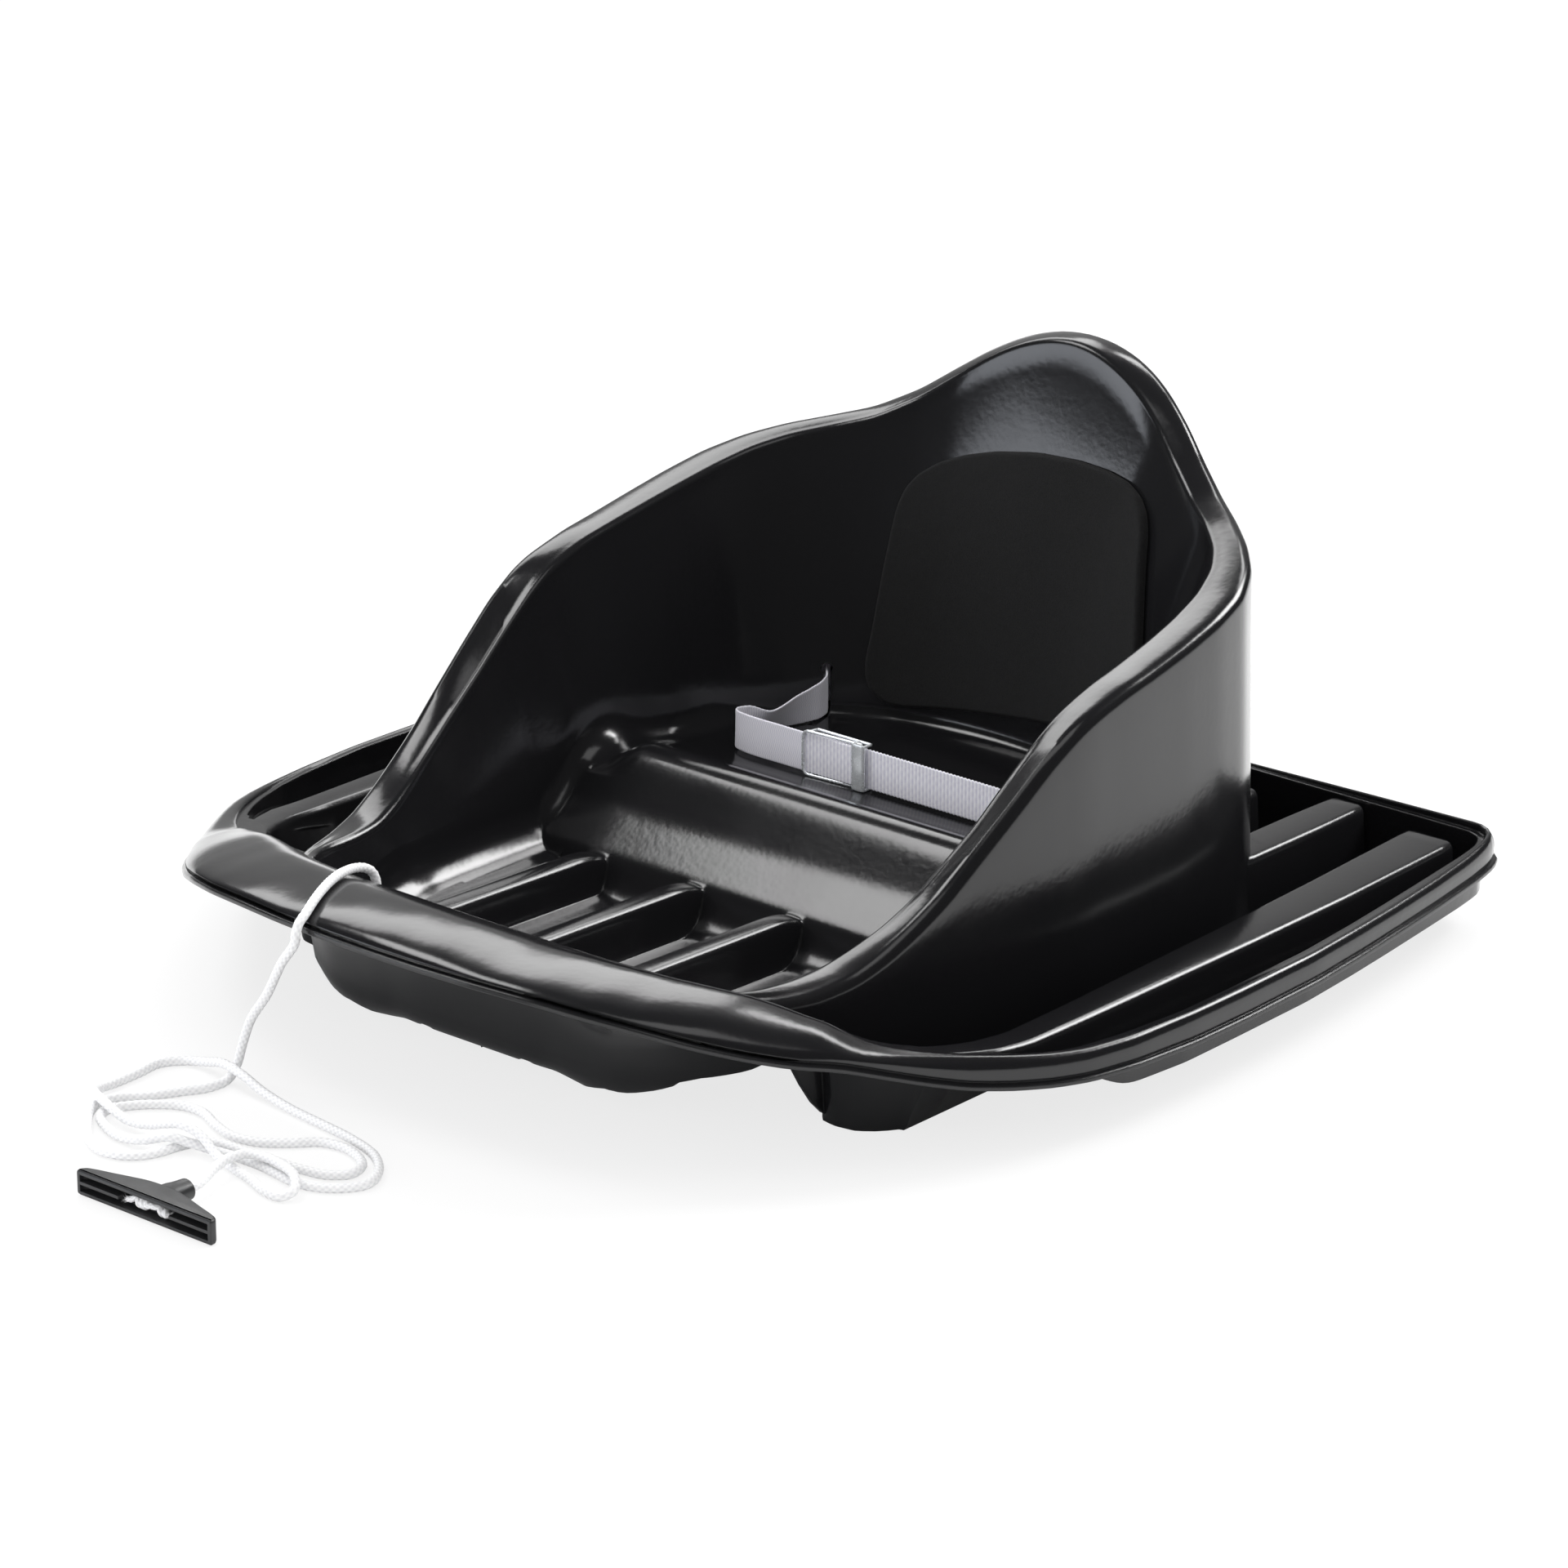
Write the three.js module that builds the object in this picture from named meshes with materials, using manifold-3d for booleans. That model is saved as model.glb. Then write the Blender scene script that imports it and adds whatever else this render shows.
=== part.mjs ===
// Baby pull sled: a one-piece moulded seat tub on a runner deck, a foam back pad, a two-part lap
// belt with a steel slide, and a braided pull rope with a T-handle. Millimetres, +Z up, +X to the
// rider's left, -Y towards the upturned nose. The ground is z = 0, the origin the middle of the base.
import * as THREE from "three";
import { mergeVertices } from "three/addons/utils/BufferGeometryUtils.js";
import Module from "manifold-3d";

const wasm = await Module();
wasm.setup();

// Driving dimensions.
const WALL = 3; // thickness of the moulded shell
const FIT = 0.3; // clearance between pieces that lie on each other
const PITCH = 68; // spacing of the lengthwise corrugations
const BAR_TOP = 46; // top of the deck bars
const REAR_FLOOR = 11; // lanes behind the tub
const RUNNER_FLOOR = 3; // side runner lanes, whose underside is the ground
const EDGE_FLOOR = 22; // outer lanes, which run out towards the front
const EDGE_PROFILE = [[-170, 46], [-110, 42], [-80, 36], [-66, 29], [-56, 23.5], [-48, EDGE_FLOOR]];
const RIB_TOP_WIDTH = 16;
const RIB_BASE_WIDTH = 26;
const TAPE_WIDTH = 22;
const TAPE = 1.2; // thickness of the belt webbing
const SEAT_TOP = 60.4; // seat in front of the backrest
const BELT_BASE = SEAT_TOP + 2 * FIT; // lower edge of the belt, just clear of the seat
const BELT_Y = 91.8;
const SLOT = [102, 168.5]; // where the belt goes through the shell
const SLOT_GAP = 1.5;
const behindSlot = [[110, 177.5], [119.3, 187.8]];
const ROPE = 5; // rope diameter
const PAD = 5; // thickness of the foam pad
const LIP = 2; // flange that stands out along the lower edge of the rim
const DEEP = -30; // bottom of the bodies that are only cut with

// The tub, one row per station from the middle of the nose to the middle of the backrest: inner
// rim edge, outer rim edge, foot of the inner wall in plan, and radius of the cove at the foot.
const TUB_STATIONS = [
  [0, -229, 91.2, 0, -235.5, 91, 0, -218, 11],
  [30, -227.3, 90.3, 31, -233.8, 90.1, 32, -218, 11],
  [60, -222.1, 87.6, 62, -228.3, 87.4, 62, -216.5, 12],
  [90, -213.5, 83, 93, -219.3, 82.8, 90, -209, 13],
  [115, -203.6, 77.9, 119, -208.8, 77.7, 112, -199, 13],
  [131, -195, 73.5, 136, -199, 73.2, 126, -184, 14],
  [140.5, -184.5, 71.4, 149, -187, 70.5, 135, -167, 17],
  [145.5, -169, 70, 160, -174, 67.5, 140, -149, 21],
  [147.5, -147, 69.2, 168, -150, 66.8, 143.5, -132, 26],
  [149.5, -128, 70.6, 173.5, -127, 70.2, 145.5, -115, 30],
  [153.5, -111, 76, 177.5, -108, 77.5, 147, -99, 26],
  [158, -95, 83, 181, -90, 87, 148, -84, 26],
  [162, -78, 92.8, 184, -71, 98.5, 149, -68, 26],
  [165, -58, 106.5, 187, -49, 115.5, 149.5, -50, 26],
  [167.7, -36, 121.5, 190, -25, 133.5, 150, -32, 26],
  [169.4, -13, 139.5, 192.3, -2, 151, 150.5, -12, 26],
  [170.6, 10, 156.5, 193.7, 17, 162.5, 151, 10, 20],
  [171, 24, 164.5, 194.1, 29, 167.5, 151, 23, 20],
  [171, 38, 169.5, 194, 42, 171, 151, 36, 20],
  [171, 53, 174, 194, 58, 175, 150.5, 50, 20],
  [170.6, 70, 177.3, 193.7, 76, 178, 149.5, 66, 18],
  [169, 98, 183, 192.7, 106, 184, 145.5, 92, 18],
  [166.8, 122, 188.3, 190.5, 134, 190, 138.5, 115, 18],
  [162.6, 147, 194.5, 185.5, 160, 196.4, 129, 136, 12],
  [155, 169, 201, 174, 181.5, 203, 117, 153, 8],
  [143.4, 186, 206.3, 158.5, 198.5, 208.4, 103, 167.5, 8],
  [127, 201, 211, 140.5, 213.5, 213, 88, 177.5, 8],
  [107.6, 213.6, 217.3, 119, 228.2, 219, 73, 184, 8],
  [87, 226, 229.2, 97.5, 241, 230.3, 58, 188.5, 8],
  [67.8, 235.8, 243.5, 79, 250.5, 244, 45, 191.5, 8],
  [53.4, 240.8, 254.4, 63, 257.4, 254.8, 35, 193, 8],
  [40.5, 243.6, 262.2, 49, 262.2, 262.4, 26, 194, 8],
  [27.5, 245.4, 268.2, 34.5, 265.3, 268.4, 17.5, 194.6, 8],
  [14, 246.5, 272.4, 18, 267.3, 272.5, 9, 194.9, 8],
  [0, 247, 274, 0, 268, 274, 0, 195, 8],
];
const NOSE_STATIONS = 7; // rows above whose outer edge is under the rolled nose

// Rolled rim round the whole sled: inner edge and lower outer edge, from nose to tail.
const RIM_STATIONS = [
  [0, -229, 91.2, 0, -290, 84.5],
  [30, -227.3, 90.3, 33, -289, 84.3],
  [60, -222.1, 87.6, 66, -286, 83.8],
  [90, -213.5, 83, 98, -280.5, 82.5],
  [115, -203.6, 77.9, 126, -273, 79.6],
  [137, -191.5, 72.6, 150, -262, 75.4],
  [155, -181, 67.6, 172, -247, 68.8],
  [170, -173, 63.4, 190, -231, 63],
  [185, -169.3, 60.6, 206, -213.5, 57.8],
  [203, -166, 58.6, 220, -194, 54],
  [221, -158.5, 56.6, 233, -177, 48.5],
  [235.5, -148, 55, 245.5, -161, 43.5],
  [248.5, -134, 53.2, 257.5, -144, 39],
  [260, -117, 51, 269, -124.5, 36],
  [269, -99, 48.6, 278, -104, 33.6],
  [275.5, -80, 46.8, 284.5, -83, 32],
  [280.5, -52, 46, 289.5, -53, 31],
  [284, -10, 46, 292, -10, 30],
  [283.5, 30, 46, 292, 30, 30],
  [282, 91, 46, 290.5, 92, 30.5],
  [278, 135, 46, 286.5, 136, 31],
  [274, 170, 46, 282.5, 171.5, 31.5],
  [269, 210, 46.4, 277.5, 212, 32],
  [264, 248, 47.2, 272, 250, 32.6],
  [261, 268, 48.4, 268, 270, 33.2],
  [257, 280, 49.4, 263, 283.5, 33.6],
  [249, 285.6, 50, 252.5, 289.7, 34],
  [230, 286, 49.8, 231, 290, 34],
  [180, 286, 49, 180, 290, 34],
  [120, 286, 47.8, 120, 290, 33.6],
  [60, 286, 46.6, 60, 290, 33],
  [0, 286, 46, 0, 290, 32.6],
];
const NOSE_BULGE = 6.5;
const NOSE_EDGE = 3.5; // upright part of the rim above its lower edge, at the nose
const SIDE_EDGE = 9;

// Deck bars beyond the tub, from the side to the middle, as [y, inner x, outer x]. The side bar
// slopes down to the runner at its foot.
const BARS = [
  { foot: 203, rows: [[-157, 206, 222], [-148, 214, 231], [-132, 224, 243], [-112, 230, 250.5],
    [-90, 232, 252.5], [-40, 231, 253], [90, 226, 253], [170, 222, 252], [262, 216, 248],
    [268, 219, 245]] },
  { foot: 0, rows: [[120, 156, 182], [240, 156, 182], [275, 157, 181], [281, 160, 178]] },
  { foot: 0, rows: [[215, 88, 126], [258, 88, 124], [263, 91, 121]] },
];
const DECK_PROFILE = [
  [-230, 56], [-176, 56], [-159, 54], [-141, 51.5], [-119, 48.8], [-89, 46.2], [-60, BAR_TOP],
  [300, BAR_TOP],
];
// Outline of the sunken deck lanes: outer lane, runner lane and rear, one half.
const WELL = [
  [163, -132], [166, -147], [176, -156], [214, -156.5], [225.5, -152.5], [235, -145], [246.5, -132.5],
  [258, -116], [267, -98.5], [273.8, -79.5], [279, -52], [283, -10], [282.5, 30], [281, 91],
  [277, 135], [273, 170], [268, 210], [263, 248], [259.5, 268], [254, 279], [246, 283.6],
];
const WELL_REAR = 283.6;
const WELL_DRAFT = 2.5;
// Corners of the well that lie further in at its foot, where the runner's nose is rounded.
const WELL_FOOT = { 2: [175, -147], 3: [187, -145], 4: [197, -137], 5: [203, -126] };
const EDGE_LANE = 228; // inner x of the outer lane, under the side bar
const RUNNER_LANE = [163, EDGE_LANE]; // x of the lane whose underside is the runner

// Foot well: lane floor, rib crest and the thigh roll with the seat behind it, as [y, z].
const LANE_PROFILE = [[-240, 15.5], [-200, 15], [-133, 15], [-24, 12], [300, 12]];
const RIB_PROFILE = [
  [-240, 20], [-196, 20], [-180, 39.5], [-133, 38.9], [-32, 35.8], [-22, 34.6], [-14, 32], [-6, 24],
  [300, 12],
];
const SEAT_PROFILE = [
  [-240, -20], [-40, 10], [-34, 12.6], [-28, 15], [-23.5, 18.5], [-20, 22.5], [-17.5, 26.5], [-16, 31],
  ...[[8, -10.4], [17, -0.9], [24, 6.6], [29, 11.6], [34, 14.6], [40, 15.6], [47, 13.8], [54, 9.8],
    [62, 5], [70, 1.2], [80, -0.8], [100, -1.1], [108, -0.2], [130, 0], [215, 0],
  ].map(([y, above]) => [y, SEAT_TOP + above]),
];

// Foam pad: half-width at each height from its middle, and the middle with the few degrees that it
// is turned on the backrest.
const PAD_ROWS = [
  [-66.5, 76], [-65, 84], [-60, 91.5], [-52, 95.3], [-42, 95.8], [-27, 93.2], [-1, 89.5], [20, 86.3],
  [40, 83.6], [49, 80], [56, 73.6], [62, 63], [67, 46.5], [70.8, 26], [72.4, 10],
];
const PAD_PLACE = { x: 4, z: SEAT_TOP + 82.6, turn: 6.2 };

// Centre line of the rope, from its stop under the nose to the neck of the handle.
const ROPE_PATH = [
  [-66.2, -233.4, 72.4], [-67, -228, 73], [-68.4, -219.5, 74], [-69.4, -213.8, 75],
  [-70.6, -210.9, 78.6], [-71.2, -211, 83.6], [-71.8, -213.2, 87.8], [-71.9, -218.6, 91.2],
  [-71, -226, 93.3], [-69.3, -231, 94.5], [-64.7, -242.4, 96.6], [-60.1, -253.3, 97.3],
  [-54.5, -265.1, 97.2], [-48.8, -276.7, 96.2], [-45.8, -284.9, 93.3], [-44.8, -290.6, 90],
  [-44.8, -292.9, 85.4],
  [-45.4, -293.4, 80], [-52, -296, 69], [-62, -297, 50], [-72, -298.5, 35], [-77, -299.5, 22],
  [-80, -301.5, 9.5], [-80.5, -307, 3.4], [-81, -319, 2.6], [-87, -331, 2.6], [-96, -346, 2.6],
  [-106, -358, 2.6],
  [-108, -368, 2.6], [-103, -379, 2.6], [-93, -390, 2.6], [-79, -402, 2.6], [-65, -407.5, 2.6],
  [-54, -405.5, 2.6], [-46, -399, 2.6], [-42, -390, 2.6], [-40, -379, 2.6], [-36, -369, 2.6],
  [-27, -364, 2.6], [-13, -363, 2.6], [8, -361.5, 2.6], [24, -360, 2.6], [37, -357, 2.6],
  [45, -349, 2.6], [43, -339, 2.6], [35, -332.5, 2.6], [22, -328.5, 2.6], [8, -331, 2.6],
  [-2, -341, 2.6], [-15, -351, 2.6], [-30, -354, 2.6], [-45, -350, 2.6], [-61, -343.5, 2.6],
  [-74, -344, 2.6], [-85, -351, 2.6], [-94, -361, 2.6], [-98.5, -370.5, 2.6], [-95, -379.5, 2.6],
  [-84, -386.5, 2.6], [-68, -390.5, 2.8], [-54, -388.5, 5], [-43, -384, 8.2], [-34, -378, 5.6],
  [-24, -372.3, 2.8], [-10, -370.3, 2.6], [5, -370, 2.6], [18, -371.5, 2.6], [32, -373, 2.6],
  [44, -370, 2.6], [54, -362.5, 2.6], [59.5, -351.5, 2.6], [54, -339, 2.6], [39, -326, 2.6],
  [17, -319, 2.6], [-7, -315.5, 2.6], [-32, -312.5, 2.8], [-55, -309.5, 5], [-70, -307.5, 8.4],
  [-88, -303.5, 8.4], [-103, -301.5, 4.5], [-115, -304.5, 2.6], [-121.5, -314.5, 2.6],
  [-120.5, -330, 2.6], [-120, -346, 2.6], [-117.5, -359, 4.4], [-110, -369, 8.2],
  [-96, -375, 8.2], [-79, -377, 4.6], [-63, -377.6, 6.8], [-50, -378.5, 11.4], [-40, -377.5, 13.4],
  [-29, -375.8, 10.4], [-16, -377.6, 4.4], [-3, -380.2, 2.6], [14, -384.6, 2.6], [29, -389.6, 2.6],
  [39, -389.4, 2.8], [41.5, -383, 4.4], [35, -376, 7.6], [22, -371.4, 8.2], [9, -370.2, 8.2],
  [0, -373.4, 8.2], [-2.6, -382, 8.2], [-1, -393, 7.4], [3.4, -404, 6.9], [6, -411, 6.8],
  [6, -425, 6.8], [6, -438.7, 6.8],
];
const ROPE_STEPS = 112;
const ROPE_SIDES = 8;

// Handle: grip along X, hollow towards -Y, neck towards +Y.
const HANDLE = { x: 6, y: -441, z: 6.8, length: 91, height: 13, wall: 2.2 };
const GRIP_BACK = [[0, 9.5], [10, 8.8], [20, 6.4], [30, 3.6], [39, 1.2], [43.5, -0.6], [45.5, -3]];
const NECK = { radius: 5.6, root: 7, length: 24, bore: 3.1 };
const STOP_KNOT = { length: 15, gap: 1 };
const HANDLE_KNOT = { length: 31, ahead: 1.6 };

const lerp = (a, b, t) => a + (b - a) * t;
const clamp = (v, lo, hi) => Math.min(hi, Math.max(lo, v));

// Height of a profile of [y, z] points at y.
function along(profile, y) {
  let i = 1;
  while (i < profile.length - 1 && profile[i][0] < y) i++;
  const [y0, z0] = profile[i - 1];
  const [y1, z1] = profile[i];
  return lerp(z0, z1, clamp((y - y0) / (y1 - y0), 0, 1));
}

function toSolid(positions, indices) {
  let g = new THREE.BufferGeometry();
  g.setAttribute("position", new THREE.Float32BufferAttribute(positions, 3));
  g.setIndex(indices);
  g = mergeVertices(g, 1e-4);
  const made = new wasm.Manifold(new wasm.Mesh({
    numProp: 3,
    vertProperties: g.attributes.position.array,
    triVerts: new Uint32Array(g.index.array),
  }));
  if (made.volume() > 0) return made;
  const flipped = Array.from(g.index.array);
  for (let i = 0; i < flipped.length; i += 3)
    [flipped[i], flipped[i + 1]] = [flipped[i + 1], flipped[i]];
  return new wasm.Manifold(new wasm.Mesh({
    numProp: 3,
    vertProperties: g.attributes.position.array,
    triVerts: new Uint32Array(flipped),
  }));
}

function solidOf(geometry) {
  const g = geometry.clone();
  g.deleteAttribute("normal");
  g.deleteAttribute("uv");
  const merged = mergeVertices(g, 1e-4);
  return toSolid(Array.from(merged.attributes.position.array), Array.from(merged.index.array));
}

// A solid through equal rings of points. A closed run of rings needs no caps. The caps of an open
// run are strips across each ring, or triangles in the plane of two axes.
function loft(rings, closed, capAxes) {
  const m = rings[0].length;
  const indices = [];
  const last = closed ? rings.length : rings.length - 1;
  for (let k = 0; k < last; k++) {
    const a = k * m;
    const b = ((k + 1) % rings.length) * m;
    for (let i = 0; i < m; i++) {
      const j = (i + 1) % m;
      indices.push(a + i, b + i, b + j, a + i, b + j, a + j);
    }
  }
  if (!closed) {
    capEnd(indices, rings, 0, false, capAxes);
    capEnd(indices, rings, rings.length - 1, true, capAxes);
  }
  return toSolid(rings.flat(2), indices);
}

function capEnd(indices, rings, k, far, capAxes) {
  const ring = rings[k];
  const m = ring.length;
  const add = (a, b, c) => {
    if (far) indices.push(k * m + a, k * m + c, k * m + b);
    else indices.push(k * m + a, k * m + b, k * m + c);
  };
  if (!capAxes) {
    for (let i = 0; i < m / 2 - 1; i++) {
      add(i, i + 1, m - 2 - i);
      add(i, m - 2 - i, m - 1 - i);
    }
    return;
  }
  const flat = ring.map((p) => new THREE.Vector2(p[capAxes[0]], p[capAxes[1]]));
  const sense = THREE.ShapeUtils.area(flat) > 0;
  for (const [a, b, c] of THREE.ShapeUtils.triangulateShape(flat, [])) {
    const positive = THREE.ShapeUtils.area([flat[a], flat[b], flat[c]]) > 0;
    if (positive === sense) add(a, b, c);
    else add(a, c, b);
  }
}

const mirrorRow = (p) => [-p[0], p[1], p[2]];

// Stations of one half and their mirror images as one closed loop.
function bothSides(half) {
  const inner = half.slice(1, -1);
  return [...half, ...inner.reverse().map((ring) => ring.map(mirrorRow))];
}

// Cross-section of the tub wall at one station: up the inside, over the rim and down the outside,
// then back along the inner skin.
function tubSection(row, k) {
  const [tx, ty, tz, ex, ey, ez] = row;
  const width = Math.hypot(ex - tx, ey - ty);
  const ux = (ex - tx) / width;
  const uy = (ey - ty) / width;
  const at = (u, z) => [tx + ux * u, ty + uy * u, z];
  const nose = k < NOSE_STATIONS;
  const inR = Math.min(4, width * 0.3);
  const outR = Math.min(6, width * 0.4);
  const standsAt = ey > 200 && ex < RUNNER_LANE[0] ? REAR_FLOOR : RUNNER_FLOOR;
  const base = nose ? tz - 9 : k === NOSE_STATIONS ? 52 : standsAt - WALL / 2;
  const draft = nose ? 0 : (ez - base) * 0.018;
  const low = footLevel(row) + row[8];
  const middle = (u) => [
    lerp(row[6], tx, BOW_AT) + ux * (u - bowOf(row)), lerp(row[7], ty, BOW_AT) + uy * (u - bowOf(row)),
    lerp(low, tz - inR, BOW_AT),
  ];
  return [
    ...coveCurve(row, 0), middle(0), at(0, tz - inR), at(inR * 0.3, tz - inR * 0.3),
    at(inR, tz), at(width - outR, ez), at(width - outR * 0.3, ez - outR * 0.3),
    at(width, ez - outR), at(width + draft, base),
    at(width + draft - WALL, base), at(width - WALL, ez - outR - 1),
    at(Math.max(width - WALL - 3, width / 2 + 0.2), ez - WALL),
    at(Math.min(WALL + 2, width / 2 - 0.2), tz - WALL),
    at(WALL, tz - WALL - 3), middle(WALL), ...coveCurve(row, WALL).reverse(),
  ];
}

// Level of the lanes between the ribs, which rise towards the sides, and of the whole floor.
const BILGE = 14;
const BILGE_FROM = PITCH + 4;
const BILGE_TO = 130;
const bilgeShare = (x) => clamp((Math.abs(x) - BILGE_FROM) / (BILGE_TO - BILGE_FROM), 0, 1);
const laneLevel = (x, y) => along(LANE_PROFILE, y) + BILGE * bilgeShare(x);
const floorLevel = (x, y) => Math.max(laneLevel(x, y), along(SEAT_PROFILE, y));

// Level of the floor where the cove of a station begins.
function footLevel([tx, ty, , ex, ey, , bx, by, radius]) {
  const width = Math.hypot(ex - tx, ey - ty);
  return floorLevel(bx - ((ex - tx) / width) * radius, by - ((ey - ty) / width) * radius);
}

// From the floor up the cove to the wall, in plan along the station's own direction, on the inside
// of the shell or at a depth inside its thickness.
// The backrest bows forward between its foot and its rim.
const BOW = 7;
const BOW_AT = 0.58;
const bowOf = ([, ty]) => BOW * clamp((ty - 195) / 35, 0, 1);
const bowShare = (t) => Math.min(t / BOW_AT, (1 - t) / (1 - BOW_AT));

const COVE_ANGLES = [0, 0.5, 1].map((t) => (t * Math.PI) / 2);
function coveCurve(row, depth) {
  const [tx, ty, , ex, ey, , bx, by, radius] = row;
  const width = Math.hypot(ex - tx, ey - ty);
  const ux = (ex - tx) / width;
  const uy = (ey - ty) / width;
  const level = footLevel(row);
  const r = radius + depth;
  const arc = COVE_ANGLES.map((a) => [r * Math.sin(a) - radius, level + radius - r * Math.cos(a)]);
  return [[arc[0][0] - 3, arc[0][1]], ...arc].map(([u, z]) => [bx + ux * u, by + uy * u, z]);
}

function tubWall() {
  return loft(bothSides(TUB_STATIONS.map(tubSection)), true);
}

// Height of the rolled rim at share f of its width, before the upright edge.
function rimHeight(row, f) {
  const [, , zi, , , zo] = row;
  const width = Math.hypot(row[3] - row[0], row[4] - row[1]);
  const broad = clamp((width - 10) / 40, 0, 1);
  const side = zo + lerp(SIDE_EDGE, NOSE_EDGE, broad);
  const top = Math.max(zi, side) + lerp(0.4, NOSE_BULGE, broad);
  const at = lerp(0.35, 0.4, broad);
  if (f <= at) return zi + (top - zi) * Math.sin((Math.PI / 2) * (f / at));
  const s = (f - at) / (1 - at);
  return side + (top - side) * Math.sqrt(Math.max(0, 1 - s ** 2.2));
}

const RIM_SHARES = [0.14, 0.3, 0.48, 0.66, 0.82, 0.94, 1];

function rimSection(row) {
  const [xi, yi, zi, xo, yo, zo] = row;
  const full = Math.hypot(xo - xi, yo - yi);
  const ux = (xo - xi) / full;
  const uy = (yo - yi) / full;
  const width = full - LIP;
  const at = (u, z) => [xi + ux * u, yi + uy * u, z];
  const skin = RIM_SHARES.map((f) => at(f * width, rimHeight(row, f)));
  const innerWall = Math.min(WALL, width * 0.42);
  const outerWall = Math.max(width - WALL, width * 0.58);
  const under = RIM_SHARES.map((f) => {
    const u = lerp(innerWall, outerWall, f);
    return at(u, rimHeight(row, clamp(u / width, 0, 0.93)) - WALL);
  });
  const leg = zi - 9;
  return [
    at(0, leg), at(0, zi - 1), ...skin, at(width, zo + 3), at(full, zo + 2.6), at(full, zo),
    at(outerWall, zo), ...under.reverse(), at(innerWall, leg),
  ];
}

function rolledRim() {
  return loft(bothSides(RIM_STATIONS.map(rimSection)), true);
}

// A body under a height function on a grid of x and y lines, down to DEEP.
function underSurface(xs, ys, height) {
  const rings = ys.map((y) => [
    ...xs.map((x) => [x, y, height(x, y)]),
    ...[...xs].reverse().map((x) => [x, y, DEEP]),
  ]);
  return loft(rings, false);
}

// Floor of the foot well and seat. Inset moves it down and the flanks of the ribs in, which gives
// the underside of the shell.
function floorBody(inset) {
  const top = RIB_TOP_WIDTH / 2 - inset * 0.85;
  const base = RIB_BASE_WIDTH / 2 - inset;
  const xs = [-175, -130];
  for (const c of [-1.5, -0.5, 0.5, 1.5].map((n) => n * PITCH))
    xs.push(c - base, c - top, c - top + 2.5, c + top - 2.5, c + top, c + base);
  xs.push(130, 175);
  const ys = [-240, -196, -180, -133, -80, -40, -34, -28, -23.5, -20, -17.5, -16, -12, -6, 8, 17,
    24, 29, 34, 40, 47, 54, 62, 70, 80, 100, 108, 215];
  return underSurface(xs, ys, (x, y) => {
    const n = Math.abs((Math.abs(x) % PITCH) - PITCH / 2);
    const lane = laneLevel(x, y);
    const crest = along(RIB_PROFILE, y);
    const ribbed = Math.abs(x) < 2 * PITCH && n < base - 0.01;
    const edge = n > top - 0.01 ? lerp(lane, crest, 0.88) : crest;
    return Math.max(ribbed ? edge : lane, along(SEAT_PROFILE, y)) - inset;
  });
}

// Middle of the tub wall's thickness as a closed body, used to trim the floor to its edge.
function tubMiddle() {
  const half = TUB_STATIONS.map((row) => {
    const [tx, ty, tz, ex, ey] = row;
    const width = Math.hypot(ex - tx, ey - ty);
    const ux = ((ex - tx) / width) * WALL * 0.5;
    const uy = ((ey - ty) / width) * WALL * 0.5;
    const curve = coveCurve(row, WALL / 2).slice(1);
    const [x0, y0] = curve[0];
    return [[x0, y0, DEEP], ...curve, [tx + ux, ty + uy, tz - 4]];
  });
  const rings = half.slice(1, -1).map((levels) => [
    ...levels.map(mirrorRow), ...[...levels].reverse(),
  ]);
  const end = (levels) => [
    ...levels.map(([, y, z]) => [-0.5, y, z]), ...[...levels].reverse().map(([, y, z]) => [0.5, y, z]),
  ];
  return loft([end(half[0]), ...rings, end(half[half.length - 1])], false);
}

// An upright prism over an outline.
function prism(outline, low, high) {
  const shape = new THREE.Shape(outline.map(([x, y]) => new THREE.Vector2(x, y)));
  const g = new THREE.ExtrudeGeometry(shape, { depth: high - low, bevelEnabled: false });
  g.translate(0, 0, low);
  return solidOf(g);
}

function symmetricPrism(half, low, high) {
  return prism([...half, ...[...half].reverse().map(([x, y]) => [-x, y])], low, high);
}

// The outline moved outwards by a distance, each corner along its own bisector.
function grown(outline, distance) {
  const n = outline.length;
  const area = THREE.ShapeUtils.area(outline.map(([x, y]) => new THREE.Vector2(x, y)));
  const sign = area > 0 ? 1 : -1;
  return outline.map((p, i) => {
    const a = outline[(i + n - 1) % n];
    const b = outline[(i + 1) % n];
    const d0 = new THREE.Vector2(p[0] - a[0], p[1] - a[1]).normalize();
    const d1 = new THREE.Vector2(b[0] - p[0], b[1] - p[1]).normalize();
    const n0 = new THREE.Vector2(d0.y, -d0.x);
    const n1 = new THREE.Vector2(d1.y, -d1.x);
    const mid = n0.clone().add(n1).normalize();
    const scale = (sign * distance) / Math.max(0.5, mid.dot(n0));
    return [p[0] + mid.x * scale, p[1] + mid.y * scale];
  });
}

const WELL_INNER = [[88, 150], [RUNNER_LANE[0], 118]];

// The sunken lanes as one closed outline that runs round behind the tub.
function wellOutline() {
  const right = [...WELL_INNER, ...WELL];
  const left = [...right].reverse().map(([x, y]) => [-x, y]);
  return [...right, ...left];
}

function wellBody(inset) {
  const top = grown(wellOutline(), inset);
  const foot = grown(wellOutline(), inset - WELL_DRAFT);
  const last = foot.length - 1;
  for (const [k, [x, y]] of Object.entries(WELL_FOOT)) {
    const i = WELL_INNER.length + Number(k);
    const out = inset * Math.SQRT1_2;
    foot[i] = [x + out, y - out];
    foot[last - i] = [-x - out, y - out];
  }
  const ring = (outline, z) => outline.map(([x, y]) => [x, y, z]);
  return loft([ring(foot, DEEP + 5), ring(foot, RUNNER_FLOOR), ring(top, 80)], false, [0, 1]);
}

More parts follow.
